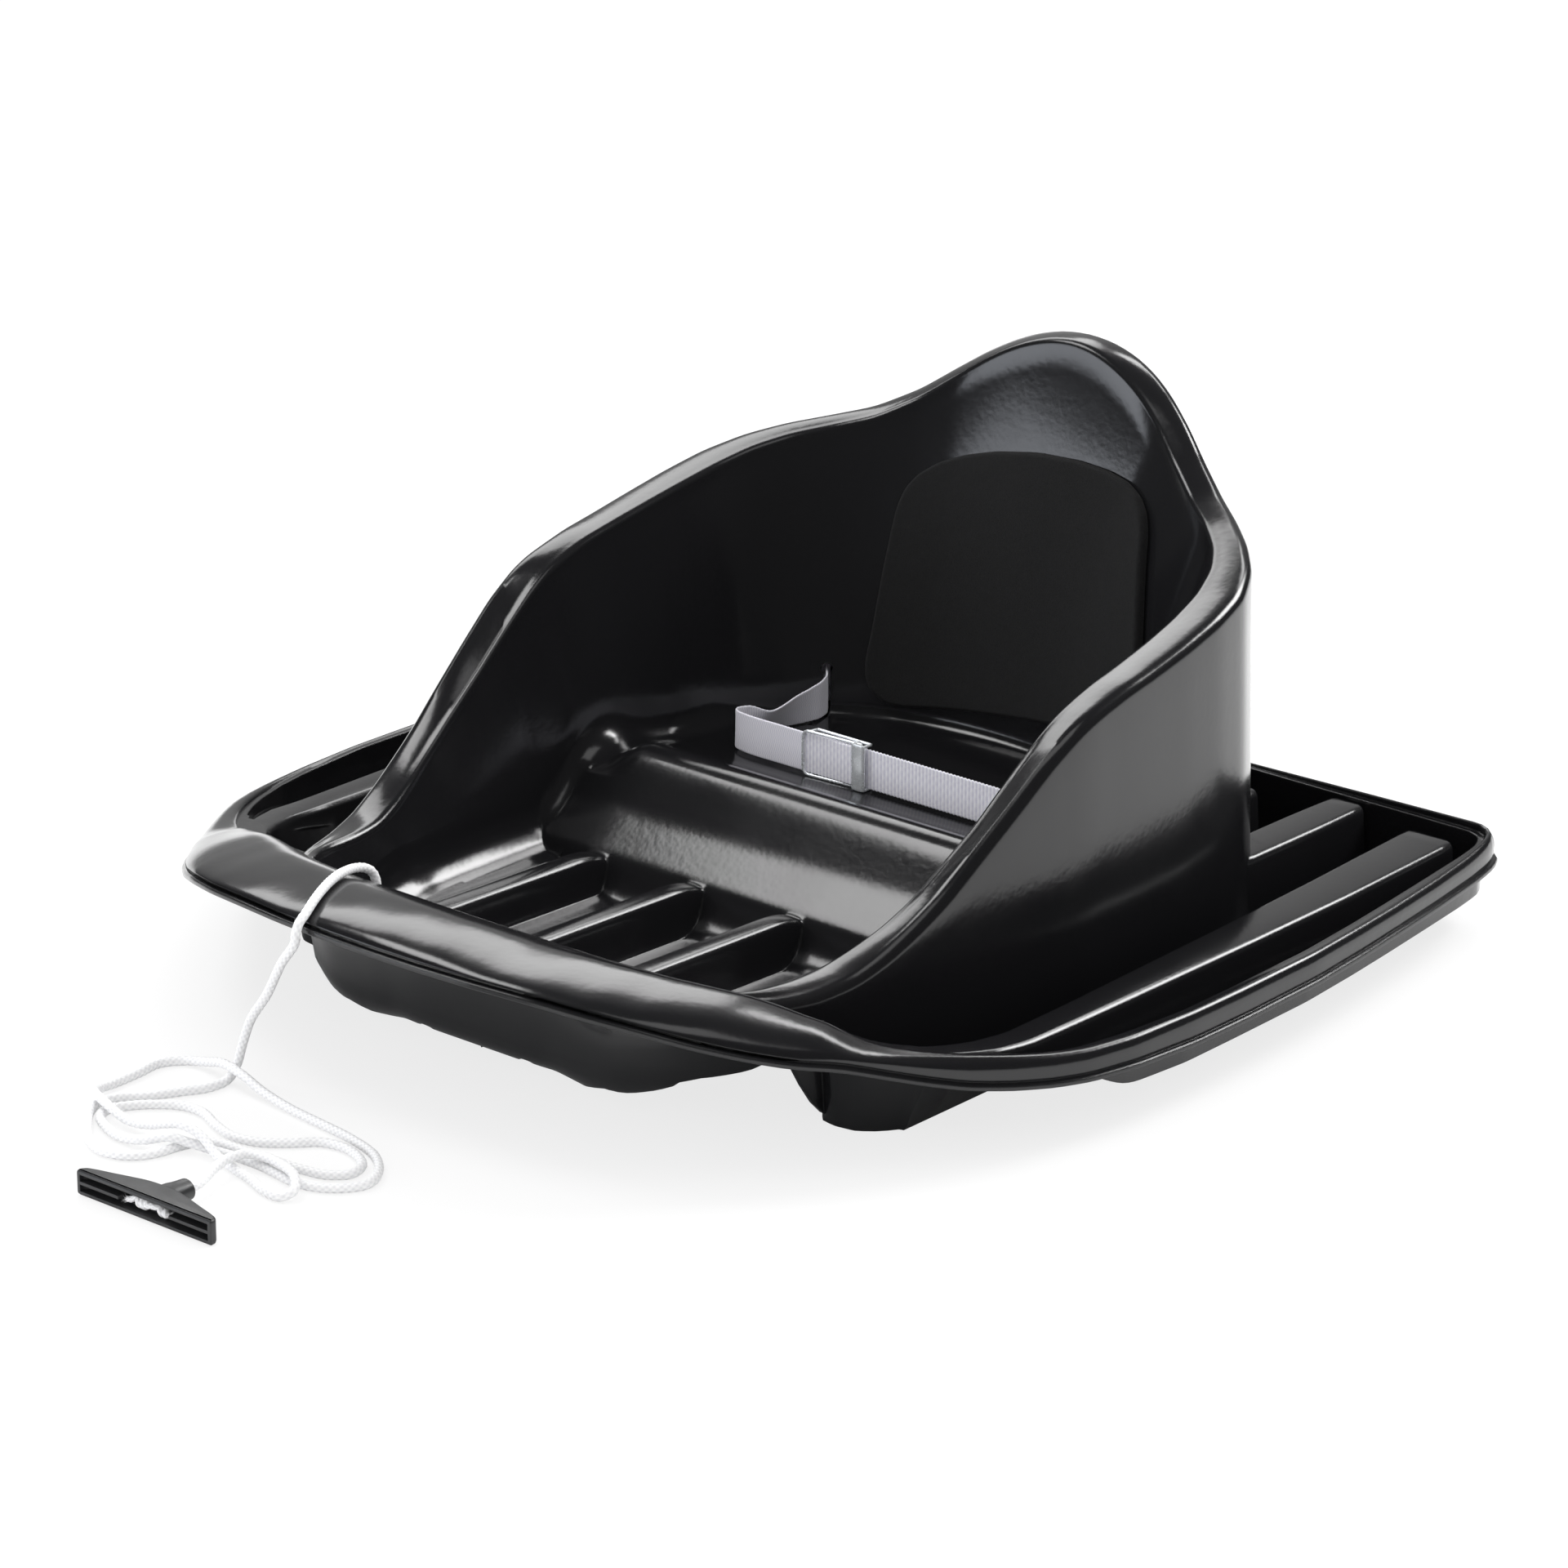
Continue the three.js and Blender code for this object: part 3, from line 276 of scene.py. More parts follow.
# A rim station is the inner edge x y z and the outer edge x y z.
rimStations = [
    [0, -229, 91.2, 0, -290, 84.5], [30, -227.3, 90.3, 33, -289, 84.3], [60, -222.1, 87.6, 66, -286, 83.8],
    [90, -213.5, 83, 98, -280.5, 82.5], [115, -203.6, 77.9, 126, -273, 79.6],
    [137, -191.5, 72.6, 150, -262, 75.4], [155, -181, 67.6, 172, -247, 68.8],
    [170, -173, 63.4, 190, -231, 63], [185, -169.3, 60.6, 206, -213.5, 57.8],
    [203, -166, 58.6, 220, -194, 54], [221, -158.5, 56.6, 233, -177, 48.5],
    [235.5, -148, 55, 245.5, -161, 43.5], [248.5, -134, 53.2, 257.5, -144, 39],
    [260, -117, 51, 269, -124.5, 36], [269, -99, 48.6, 278, -104, 33.6], [275.5, -80, 46.8, 284.5, -83, 32],
    [280.5, -52, 46, 289.5, -53, 31], [284, -10, 46, 292, -10, 30], [283.5, 30, 46, 292, 30, 30],
    [282, 91, 46, 290.5, 92, 30.5], [278, 135, 46, 286.5, 136, 31], [274, 170, 46, 282.5, 171.5, 31.5],
    [269, 210, 46.4, 277.5, 212, 32], [264, 248, 47.2, 272, 250, 32.6], [261, 268, 48.4, 268, 270, 33.2],
    [257, 280, 49.4, 263, 283.5, 33.6], [249, 285.6, 50, 252.5, 289.7, 34], [230, 286, 49.8, 231, 290, 34],
    [180, 286, 49, 180, 290, 34], [120, 286, 47.8, 120, 290, 33.6], [60, 286, 46.6, 60, 290, 33],
    [0, 286, 46, 0, 290, 32.6],
]
wellCorners = [
    [163, -132], [166, -147], [176, -156], [214, -156.5], [225.5, -152.5], [235, -145], [246.5, -132.5],
    [258, -116], [267, -98.5], [273.8, -79.5], [279, -52], [283, -10], [282.5, 30], [281, 91],
    [277, 135], [273, 170], [268, 210], [263, 248], [259.5, 268], [254, 279], [246, 283.6],
]
wellFoot = {4: (175, -147), 5: (187, -145), 6: (197, -137), 7: (203, -126)}  # corners that slope more
# Heights along y: the floor between its ribs, the ribs, the seat, the deck and the deck's outer edge.
lanePoints = [[-240, 15.5], [-200, 15], [-133, 15], [-24, 12], [300, 12]]
ribPoints = [
    [-240, 20], [-196, 20], [-180, 39.5], [-133, 38.9], [-32, 35.8], [-22, 34.6], [-14, 32], [-6, 24],
    [300, 12],
]
seatPoints = [
    [-240, -20], [-40, 10], [-34, 12.6], [-28, 15], [-23.5, 18.5], [-20, 22.5], [-17.5, 26.5], [-16, 31],
    [8, 50], [17, 59.5], [24, 67], [29, 72], [34, 75], [40, 76], [47, 74.2], [54, 70.2], [62, 65.4],
    [70, 61.6], [80, 59.6], [100, 59.3], [108, 60.2], [130, 60.4], [215, 60.4],
]
deckPoints = [
    [-230, 56], [-176, 56], [-159, 54], [-141, 51.5], [-119, 48.8], [-89, 46.2], [-60, 46], [300, 46],
]
edgePoints = [[-170, 46], [-110, 42], [-80, 36], [-66, 29], [-56, 23.5], [-48, 22], [289.6, 22]]
# The deck's bars: where the inner side's foot is, if it has one, and rows of y, inner x, outer x.
barRows = [
    (203, [[-157, 206, 222], [-148, 214, 231], [-132, 224, 243], [-112, 230, 250.5], [-90, 232, 252.5],
           [-40, 231, 253], [90, 226, 253], [170, 222, 252], [262, 216, 248], [268, 219, 245]]),
    (0, [[120, 156, 182], [240, 156, 182], [275, 157, 181], [281, 160, 178]]),
    (0, [[215, 88, 126], [258, 88, 124], [263, 91, 121]]),
]
shellLook = {
    "wall": 3, "stations": 300, "tubSmooth": 4.5, "rimSmooth": 3.8, "pitch": 68, "ribTop": 5.6, "ribBase": 13,
    "bilge": 14, "rearFloor": 11, "runnerFloor": 3, "laneIn": 163, "edgeLane": 228, "rear": 289.6,
    "wellDraft": 2.5, "bow": 7, "bowPeak": 1.272, "bowSwell": 10, "dome": 4, "seatTop": 60.4, "rollEnd": 112,
    "rollGone": 150, "innerRound": 4, "outerRound": 6, "draft": 0.018, "lipWide": 6.5, "lipNarrow": 0.4,
}
wall = shellLook["wall"]
deep = -30  # below the floor, where the cutting shapes end
halfLoop = shellLook["stations"] // 2 + 1
laneAt, ribAt, seatAt = profileOf(lanePoints, 3), profileOf(ribPoints, 3), profileOf(seatPoints, 2.2)
deckAt, edgeAt = profileOf(deckPoints, 4), profileOf(edgePoints, 6)


def laneLevel(x, y):
    return laneAt(y) + shellLook["bilge"] * np.clip((np.abs(x) - 72) / 58, 0, 1)


def seatLevel(x, y):  # the roll in front of the seat dies away before it meets the side walls
    level = seatAt(y) + 0 * x
    hump = np.maximum(0, level - shellLook["seatTop"]) * (y > 0)
    return level - hump * ease(np.abs(x), shellLook["rollEnd"], shellLook["rollGone"])


def axesOf(r):  # a section's width, its direction outwards, and its points by share across and height
    width = np.hypot(r[:, 3] - r[:, 0], r[:, 4] - r[:, 1])
    ux, uy = (r[:, 3] - r[:, 0]) / width, (r[:, 4] - r[:, 1]) / width

    def at(u, z):
        return np.stack([r[:, 0] + ux * u, r[:, 1] + uy * u, z + 0 * ux], 1)

    return width, ux, uy, at


def wallFoot(k, row):  # in front the outer wall ends just under the lip, further back at the floor
    if k < 7:
        return row[2] - 9
    if k == 7:
        return 52
    rear = row[4] > 200 and row[3] < shellLook["laneIn"]
    return shellLook["rearFloor" if rear else "runnerFloor"] - wall / 2


def backrestBow(row):
    return shellLook["bow"] * min(1, max(0, (row[1] - 195) / 35))


tubLoop = mirroredLoop([row + [wallFoot(k, row), backrestBow(row)] for k, row in enumerate(tubStations)],
                       [0, 3, 6])
tubRows = smoothRows(tubLoop, chords(tubLoop[:, :3]), shellLook["stations"], shellLook["tubSmooth"])
rimLoop = mirroredLoop(rimStations, [0, 3])
rimRows = smoothRows(rimLoop, chords((rimLoop[:, :3] + rimLoop[:, 3:]) / 2), shellLook["stations"],
                     shellLook["rimSmooth"])


def footLevel(r, ux, uy):
    x, y = r[:, 6] - ux * r[:, 8], r[:, 7] - uy * r[:, 8]
    return np.maximum(laneLevel(x, y), seatLevel(x, y))


def coveCurve(r, depth, angles, nudge):  # the round from the floor up into the wall
    _, ux, uy, _ = axesOf(r)
    level, radius = footLevel(r, ux, uy), r[:, 8]
    points = [(-radius - 3, level - depth + nudge * 4)]
    for a in angles:
        lift = nudge * (1 - a / (math.pi / 2))
        points.append(((radius + depth) * math.sin(a) - radius,
                       level + radius - (radius + depth) * math.cos(a) + lift))
    return [np.stack([r[:, 6] + ux * u, r[:, 7] + uy * u, z], 1) for u, z in points]


def tubSections(r):
    width, ux, uy, at = axesOf(r)
    tx, ty, tz, _, _, ez = (r[:, n] for n in range(6))
    inR = np.minimum(shellLook["innerRound"], width * 0.3)
    outR = np.minimum(shellLook["outerRound"], width * 0.4)
    base, bow = r[:, 9], r[:, 10]
    draft = np.where(base > 20, 0, (ez - base) * shellLook["draft"])
    low = footLevel(r, ux, uy) + r[:, 8]

    def middle(t, u):
        u = u - bow * math.sin(math.pi * t ** shellLook["bowPeak"])
        x, y = lerp(r[:, 6], tx, t) + ux * u, lerp(r[:, 7], ty, t) + uy * u
        return np.stack([x, y, lerp(low, tz - inR, t)], 1)

    outside = wall + shellLook["bowSwell"] * ease(np.abs(r[:, 6]), 50, 100) * ease(-r[:, 7], 125, 170)
    arc = np.radians(np.arange(5, 91, 8.5))
    section = coveCurve(r, 0, arc, -0.35)
    section += [middle(t, 0) for t in (0.12, 0.24, 0.36, 0.48, 0.6, 0.72, 0.84, 0.94)]
    for a in arcOf(0, 90, 7):
        section.append(at(inR * (1 - math.cos(a)), tz - inR * (1 - math.sin(a))))
    for t in (0.2, 0.4, 0.6, 0.8):
        section.append(at(lerp(inR, width - outR, t), lerp(tz, ez, t) + 0.35 * math.sin(math.pi * t)))
    for a in np.radians((0, 13, 26, 39, 52, 65, 78, 90)):
        section.append(at(width - outR * (1 - math.sin(a)), ez - outR * (1 - math.cos(a))))
    for t in (0.12, 0.24, 0.36, 0.48, 0.6, 0.72, 0.86, 1):
        section.append(at(lerp(width, width + draft, t), lerp(ez - outR, base, t)))
    section += [at(width + draft - wall, base), at(width - wall, ez - outR - 1),
                at(np.maximum(width - wall - 2, width / 2 + 0.3), ez - wall - 1.2),
                at(np.maximum(width - wall - 4, width / 2 + 0.2), ez - wall),
                at(np.minimum(wall + 3, width / 2 - 0.2), tz - wall),
                at(np.minimum(wall + 1, width / 2 - 0.3), tz - wall - 1.2), at(wall, tz - wall - 3)]
    section += [middle(t, lerp(outside, wall, max(0, (t - 0.4) / 0.6))) for t in (0.8, 0.6, 0.4, 0.2)]
    section += coveCurve(r, outside, arc[::2], 0.35)[::-1]
    return np.stack(section, 1)


def rimSections(r):
    full, _, _, at = axesOf(r)
    zi, yo, zo, outer = r[:, 2], r[:, 4], r[:, 5], np.abs(r[:, 3])
    width = full - 2
    broad = np.clip((full - 10) / 40, 0, 1)
    side = zo + lerp(9, 3.5, broad)
    dome = shellLook["dome"] * ease(outer, 140, 185) * (1 - ease(outer, 209, 227)) * (yo < -100)
    top = np.maximum(zi, side) + lerp(shellLook["lipNarrow"], shellLook["lipWide"], broad) + dome
    crest = lerp(0.35, 0.4, broad)

    def height(f):
        rising = zi + (top - zi) * np.sin(math.pi / 2 * np.minimum(1, f / crest))
        s = np.clip((f - crest) / (1 - crest), 0, 1)
        falling = side + (top - side) * np.sqrt(np.maximum(0, 1 - s ** 2.2))
        return np.where(f <= crest, rising, falling)

    section = [at(0, zi - 9), at(0, zi - 2.2)]
    for f in [0.012, 0.03, 0.06, 0.1, *(0.1 + 0.9 * (1 - (1 - np.linspace(0, 1, 26)[1:]) ** 1.7))]:
        u = f * width
        section.append(at(u, height(f) - 1.1 * np.clip(1 - u / 2.2, 0, 1) ** 2))
    for u, z in ((width - 0.1, 4.6), (width - 0.8, 3.9), (width - 0.9, 3.3), (width - 0.2, 2.9),
                 (full - 0.5, 2.7), (full, 2.1), (full, 0.4), (full - 0.4, 0)):
        section.append(at(u, zo + z))
    innerWall, outerWall = np.minimum(wall, width * 0.42), np.maximum(width - wall, width * 0.58)
    section.append(at(outerWall, zo))
    for f in np.linspace(1, 0, 12):
        u = lerp(innerWall, outerWall, f)
        section.append(at(u, height(np.clip(u / width, 0, 0.93)) - wall))
    section.append(at(innerWall, zi - 9))
    return np.stack(section, 1)


def underSurface(name, xs, ys, heights):  # everything below a grid of heights
    top = np.stack([*np.meshgrid(xs, ys), heights], -1)
    low = top[:, ::-1].copy()
    low[:, :, 2] = deep
    return ringSolid(name, np.concatenate([top, low], 1))


def floorBody(inset):
    offsets = [0, 2.5, 4.2, 5.4, 6.4, 7.2, 8, 8.8, 9.6, 10.4, 11.2, 12, 12.8, 13.6, 15, 18, 22, 28]
    pitch, ribTop = shellLook["pitch"], shellLook["ribTop"]
    xs = {-175, -155, 155, 175, 0, pitch, -pitch, *range(-150, -107, 4), *range(110, 153, 4)}
    for n in (-1.5, -0.5, 0.5, 1.5):
        xs |= {n * pitch + side * offset for offset in offsets for side in (1, -1)}
    xs = sorted(xs)
    spans = ((-240, -200, 5), (-200, -172, 1.6), (-172, -46, 6), (-46, 30, 1.1), (30, 84, 1.8), (84, 112, 3),
             (112, 216, 8))
    ys = np.concatenate([np.arange(*span) for span in spans] + [[215]])
    x, y = np.meshgrid(xs, ys)
    n = np.abs(np.abs(x) % pitch - pitch / 2)
    lane, crest = laneLevel(x, y), ribAt(y)
    shape = 1 - ease(n, ribTop - inset * 0.6, shellLook["ribBase"] - inset)
    shape = np.where(np.abs(x) < 2 * pitch, shape, 0)
    floor = np.maximum(lane, lane + (crest - lane) * shape) - 0.02 * np.minimum(n, 6) ** 2 * (shape > 0)
    seat, blend = seatLevel(x, y), 2.2
    h = np.clip(0.5 + 0.5 * (floor - seat) / blend, 0, 1)
    return underSurface("floor", xs, ys, lerp(seat, floor, h) + blend * h * (1 - h) - inset)


def wellBody(inset):
    around, foot0, top0 = 420, 3.0, 80.0
    outline = bothHalves([[88, 150], [shellLook["laneIn"], 118]] + wellCorners)
    top, foot = grown(outline, inset), grown(outline, inset - shellLook["wellDraft"])
    out = inset * math.sqrt(0.5)
    for k, (x, y) in wellFoot.items():
        foot[k] = (x + out, y - out)
        foot[len(foot) - 1 - k] = (-x - out, y - out)
    top, foot = (smoothRows(o, chords(outline), around, 3.2) for o in (top, foot))
    return ringSolid("well", [np.column_stack([ring, np.full(around, z)])
                              for ring, z in ((foot, deep + 5), (foot, foot0), (top, top0))])


def barBody(foot, table, inset, side):  # a bar of the deck, from its rows of y, inner x and outer x
    end, crown, batter = 6, 4, 2.2
    table = numbers(table)
    y0, y1 = table[0, 0] + inset, table[-1, 0] - inset
    inner = np.linspace(y0 + end, y1 - end, max(8, int((y1 - y0) / 8)))
    ends = end * (1 - np.cos(np.linspace(0, math.pi / 2, 7)))[:-1]
    rings = []
    for y in np.concatenate([y0 + ends, inner, y1 - ends[::-1]]):
        xi, xo = np.interp(y, table[:, 0], table[:, 1]), np.interp(y, table[:, 0], table[:, 2])
        near = max(0, 1 - min(y - y0, y1 - y) / end)
        shrink = 5 * (1 - math.sqrt(max(0, 1 - near ** 2)))
        z = deckAt(y) - shrink * 0.8 - inset
        a, b = xi + inset + shrink, xo - inset - shrink
        start = foot + inset if foot else a - batter
        line = [(start, deep), (start, 3 - inset if foot else 8)]
        arc = [(crown * (1 - math.cos(t)), z - crown * (1 - math.sin(t)))
               for t in np.radians((0, 22, 45, 68, 90))]
        line += [(a + u, h) for u, h in arc] + [(b - u, h) for u, h in arc[::-1]]
        line += [(b + batter, 8), (b + batter, deep)]
        rings.append([(side * x, y, h) for x, h in line])
    return ringSolid("bar", rings)


def deckBody(inset):
    ys = np.concatenate([np.arange(-230, -40, 5), [-40, 100, 300]])
    body = underSurface("deck", [-300, 300], ys, np.repeat(deckAt(ys)[:, None] - inset, 2, 1))
    body = combine(body, wellBody(inset), "DIFFERENCE")
    laneIn, laneOut = shellLook["laneIn"] - inset, shellLook["edgeLane"] + inset
    low, front, rear, edgeOut = deep + 1, -170, shellLook["rear"], 290
    body = combine(body, box(-laneIn, laneIn, 100, rear, low, shellLook["rearFloor"] - inset), "UNION")
    edge = np.arange(front, edgeOut, 4.0)
    levels = np.repeat(edgeAt(edge)[:, None] - inset, 2, 1)
    for side in (-1, 1):
        lane, outer = sorted((side * laneIn, side * laneOut)), sorted((side * laneOut, side * edgeOut))
        body = combine(body, box(*lane, front, rear, low, shellLook["runnerFloor"] - inset), "UNION")
        body = combine(body, underSurface("edge", outer, edge, levels), "UNION")
        for foot, table in barRows:
            body = combine(body, barBody(foot, table, inset, side), "UNION")
    return body


def tubMiddle():  # what lies inside the middle of the tub's wall
    half = tubRows[:halfLoop]
    at = axesOf(half)[-1]
    curve = coveCurve(half, wall / 2, np.radians((0, 22, 45, 67, 90)), 0)[1:]
    foot = np.column_stack([curve[0][:, :2], np.full(len(half), deep)])
    levels = np.stack([foot, *curve, at(wall / 2, half[:, 2] - 4)], 1)
    rings = np.concatenate([levels * (-1, 1, 1), levels[:, ::-1]], 1)
    for end in (0, -1):
        rings[end, : levels.shape[1], 0] = -0.4
        rings[end, levels.shape[1]:, 0] = 0.4
    return ringSolid("middle", rings)


def hollowOutline():
    table = numbers(tubStations)
    front, tail = axesOf(table[:8])[-1](1.5, 0), axesOf(table[27:])
    sides = [[151, -130], [155.5, -110], [157, -60], [157, 190], [149, 203]]
    return bothHalves(np.vstack([front[:, :2], sides, tail[-1](tail[0] - 1.2, 0)[:, :2]]))


# A slot in each rear corner, where a belt goes through the shell, with a round top.
slot = {"lead": [(96, 149), (99, 158.5)], "at": (102, 168.5), "behind": [(110, 177.5), (119.3, 187.8)],
        "gap": 1.5, "base": 61, "tape": 22, "thick": 1.2, "round": 3.2}


def beltSlot(side):
    path = curveThrough([*slot["lead"], slot["at"], *slot["behind"]], 24)
    d = unit(np.gradient(path, axis=0))
    n = np.stack([-d[:, 1], d[:, 0]], 1) * (slot["thick"] / 2 + slot["gap"])
    low, high = slot["base"] - slot["gap"], slot["base"] + slot["tape"] + slot["gap"]
    cut = ringSolid("slot", [[(*(p + m), low), (*(p + m), high), (*(p - m), high), (*(p - m), low)]
                             for p, m in zip(path, n)])
    ahead = unit(np.array([*np.subtract(slot["behind"][0], slot["at"]), 0]))
    across = np.array([-ahead[1], ahead[0], 0])
    centre, up = np.array([*slot["at"], high]), np.array([0, 0, 1])
    cut = combine(cut, rod("top", centre, ahead, across, up, slot["round"], 24, (-20, 20)), "UNION")
    if side > 0:
        return cut
    flipped = copyOf(cut, True)
    remove(cut)
    return flipped


# The rope's centre line, from under the nose to the handle. A point of two numbers lies on the floor.
ropePoints = [
    [-66.2, -233.4, 72.4], [-67, -228, 73], [-68.4, -219.5, 74], [-69.4, -213.8, 75], [-70.6, -210.9, 78.6],
    [-71.2, -211, 83.6], [-71.8, -213.2, 87.8], [-71.9, -218.6, 91.2], [-71, -226, 93.3],
    [-69.3, -231, 94.5], [-64.7, -242.4, 96.6], [-60.1, -253.3, 97.3], [-54.5, -265.1, 97.2],
    [-48.8, -276.7, 96.2], [-45.8, -284.9, 93.3], [-44.8, -290.6, 90], [-44.8, -292.9, 85.4],
    [-45.4, -293.4, 80], [-52, -296, 69], [-62, -297, 50], [-72, -298.5, 35], [-77, -299.5, 22],
    [-80, -301.5, 9.5], [-80.5, -307, 3.4], [-81, -319], [-87, -331], [-96, -346], [-106, -358],
    [-108, -368], [-103, -379], [-93, -390], [-79, -402], [-65, -407.5], [-54, -405.5], [-46, -399],
    [-42, -390], [-40, -379], [-36, -369], [-27, -364], [-13, -363], [8, -361.5], [24, -360], [37, -357],
    [45, -349], [43, -339], [35, -332.5], [22, -328.5], [8, -331], [-2, -341], [-15, -351], [-30, -354],
    [-45, -350], [-61, -343.5], [-74, -344], [-85, -351], [-94, -361], [-98.5, -370.5], [-95, -379.5],
    [-84, -386.5], [-68, -390.5, 2.8], [-54, -388.5, 5], [-43, -384, 8.2], [-34, -378, 5.6],
    [-24, -372.3, 2.8], [-10, -370.3], [5, -370], [18, -371.5], [32, -373], [44, -370], [54, -362.5],
    [59.5, -351.5], [54, -339], [39, -326], [17, -319], [-7, -315.5], [-32, -312.5, 2.8], [-55, -309.5, 5],
    [-70, -307.5, 8.4], [-88, -303.5, 8.4], [-103, -301.5, 4.5], [-115, -304.5], [-121.5, -314.5],
    [-120.5, -330], [-120, -346], [-117.5, -359, 4.4], [-110, -369, 8.2], [-96, -375, 8.2],
    [-79, -377, 4.6], [-63, -377.6, 6.8], [-50, -378.5, 11.4], [-40, -377.5, 13.4], [-29, -375.8, 10.4],
    [-16, -377.6, 4.4], [-3, -380.2], [14, -384.6], [29, -389.6], [39, -389.4, 2.8], [41.5, -383, 4.4],
    [35, -376, 7.6], [22, -371.4, 8.2], [9, -370.2, 8.2], [0, -373.4, 8.2], [-2.6, -382, 8.2],
    [-1, -393, 7.4], [3.4, -404, 6.9], [6, -411, 6.8], [6, -425, 6.8], [6, -438.7, 6.8],
]
rope = {"diameter": 5, "steps": 3600, "sides": 20, "strands": 5, "strand": 0.36, "pitch": 3.4, "lying": 2.6,
        "hole": 3.6}
ropePoints = [p if len(p) == 3 else [*p, rope["lying"]] for p in ropePoints]


def ropeHole():
    a, b = numbers(ropePoints[0]), numbers(ropePoints[2])
    ahead = unit(b - a)
    u = unit(np.cross(ahead, (0, 0, 1)))
    return rod("hole", (a + b) / 2, ahead, u, np.cross(ahead, u), rope["hole"], 32, (-11, 11))


hollow = hollowOutline()
floorUnder = floorBody(wall)
floor = combine(floorBody(0), copyOf(floorUnder), "DIFFERENCE")
floor = combine(floor, tubMiddle(), "INTERSECT")
print("floor", len(floor.data.vertices))
bowlUnder = combine(floorUnder, prism("hollow", hollow, deep + 2, 90), "INTERSECT")
deck = combine(deckBody(0), deckBody(wall), "DIFFERENCE")
rimInside = bothHalves(axesOf(rimRows[:halfLoop])[-1](1.4, 0)[:, :2])
deck = combine(deck, prism("edge", rimInside, -1, 70), "INTERSECT")
deck = combine(deck, prism("hollow", hollow, deep, 100), "DIFFERENCE")
print("deck", len(deck.data.vertices))
shell = combine(ringSolid("sled_shell", tubSections(tubRows), True), bowlUnder, "DIFFERENCE")
shell = combine(shell, ringSolid("rim", rimSections(rimRows), True), "UNION")
print("tub and rim", len(shell.data.vertices))
shell = combine(shell, deck, "UNION")
shell = combine(shell, floor, "UNION")
for cut in (beltSlot(-1), beltSlot(1), ropeHole()):
    shell = combine(shell, cut, "DIFFERENCE")
shadeByAngle(shell, 32)
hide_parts("shell")
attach(shell, "sled")
shell.data.calc_loop_triangles()
print("shell done", len(shell.data.loop_triangles))


# Materials. Every look has its own values, and its nodes read object coordinates in metres.
def addNode(tree, kind, settings=None, **values):
    node = tree.nodes.new(kind)
    for key, value in (settings or {}).items():
        setattr(node, key, value)
    for key, value in values.items():
        node.inputs[key.replace("_", " ")].default_value = value
    return node


def newMaterial(name, color, roughness, metallic=0.0, **values):
    made = bpy.data.materials.new(name)
    made.use_nodes = True
    shader = made.node_tree.nodes["Principled BSDF"]
    values.update(Base_Color=(*color, 1), Roughness=roughness, Metallic=metallic)
    for key, value in values.items():
        shader.inputs[key.replace("_", " ")].default_value = value
    return made, made.node_tree, shader


def feed(node, name, source):
    node.id_data.links.new(source, node.inputs[name])


def noise(tree, scale, detail):
    made = addNode(tree, "ShaderNodeTexNoise", Scale=scale, Detail=detail)
    feed(made, "Vector", addNode(tree, "ShaderNodeTexCoord").outputs["Object"])
    return made.outputs["Fac"]


def ranged(tree, source, low, high, start=0.3, end=0.7):
    node = addNode(tree, "ShaderNodeMapRange", From_Min=start, From_Max=end, To_Min=low, To_Max=high)
    feed(node, "Value", source)
    return node.outputs["Result"]


def blendColors(tree, share, first, second):
    node = addNode(tree, "ShaderNodeMix", {"data_type": "RGBA"})
    for socket, color in zip([s for s in node.inputs if s.type == "RGBA"], (first, second)):
        socket.default_value = (*color, 1)
    feed(node, "Factor", share)
    return [s for s in node.outputs if s.type == "RGBA"][0]


def raised(tree, height, distance, normal=None):
    node = addNode(tree, "ShaderNodeBump", Distance=distance, Strength=1.0)
    feed(node, "Height", height)
    if normal:
        feed(node, "Normal", normal)
    return node.outputs["Normal"]


def finished(made, material):
    made.data.materials.clear()
    made.data.materials.append(material)


def setWeaveShade(made, values):  # 0 in the valleys of a weave or braid, where the shade is painted, 1 on its crowns
    store = made.data.attributes.new("weave", "FLOAT", "POINT")
    store.data.foreach_set("value", np.asarray(values, np.float32).ravel())


def hardMaterial(name, look):  # cloudy gloss, soft edges and one or more layers of fine relief
    made, tree, shader = newMaterial(name, look["color"], look["roughness"], look["metallic"])
    cloud = noise(tree, *look["cloud"])
    feed(shader, "Roughness", ranged(tree, cloud, *look["gloss"]))
    if "dull" in look:
        feed(shader, "Base Color", blendColors(tree, cloud, look["dull"], look["color"]))
    edge = addNode(tree, "ShaderNodeBevel", {"samples": look["edgeSamples"]}, Radius=look["edge"])
    normal = edge.outputs["Normal"]
    for scale, detail, depth in look["relief"]:
        normal = raised(tree, noise(tree, scale, detail), depth, normal)
    feed(shader, "Normal", normal)
    return made


# Glossy black moulded plastic with a faint orange peel. Clouds are a scale and a detail, and each
# layer of relief is a scale, a detail and a depth.
blackPlastic = {"color": (0.0075, 0.0075, 0.0083), "roughness": 0.22, "metallic": 0.0, "cloud": (14.0, 5.0),
                "gloss": (0.13, 0.2), "relief": [(260.0, 1.0, 0.00004), (2600.0, 2.0, 0.000006)],
                "edge": 0.0013, "edgeSamples": 5}
plastic = hardMaterial("black_plastic", blackPlastic)
finished(shell, plastic)

# Dark grey handle plastic, semi-matt with a fine spark-eroded texture.
greyPlastic = {"color": (0.021, 0.0215, 0.0225), "roughness": 0.42, "metallic": 0.0, "cloud": (60.0, 3.0),
               "gloss": (0.36, 0.5), "relief": [(1900.0, 3.0, 0.00004)], "edge": 0.0006, "edgeSamples": 5}
grey = hardMaterial("grey_plastic", greyPlastic)

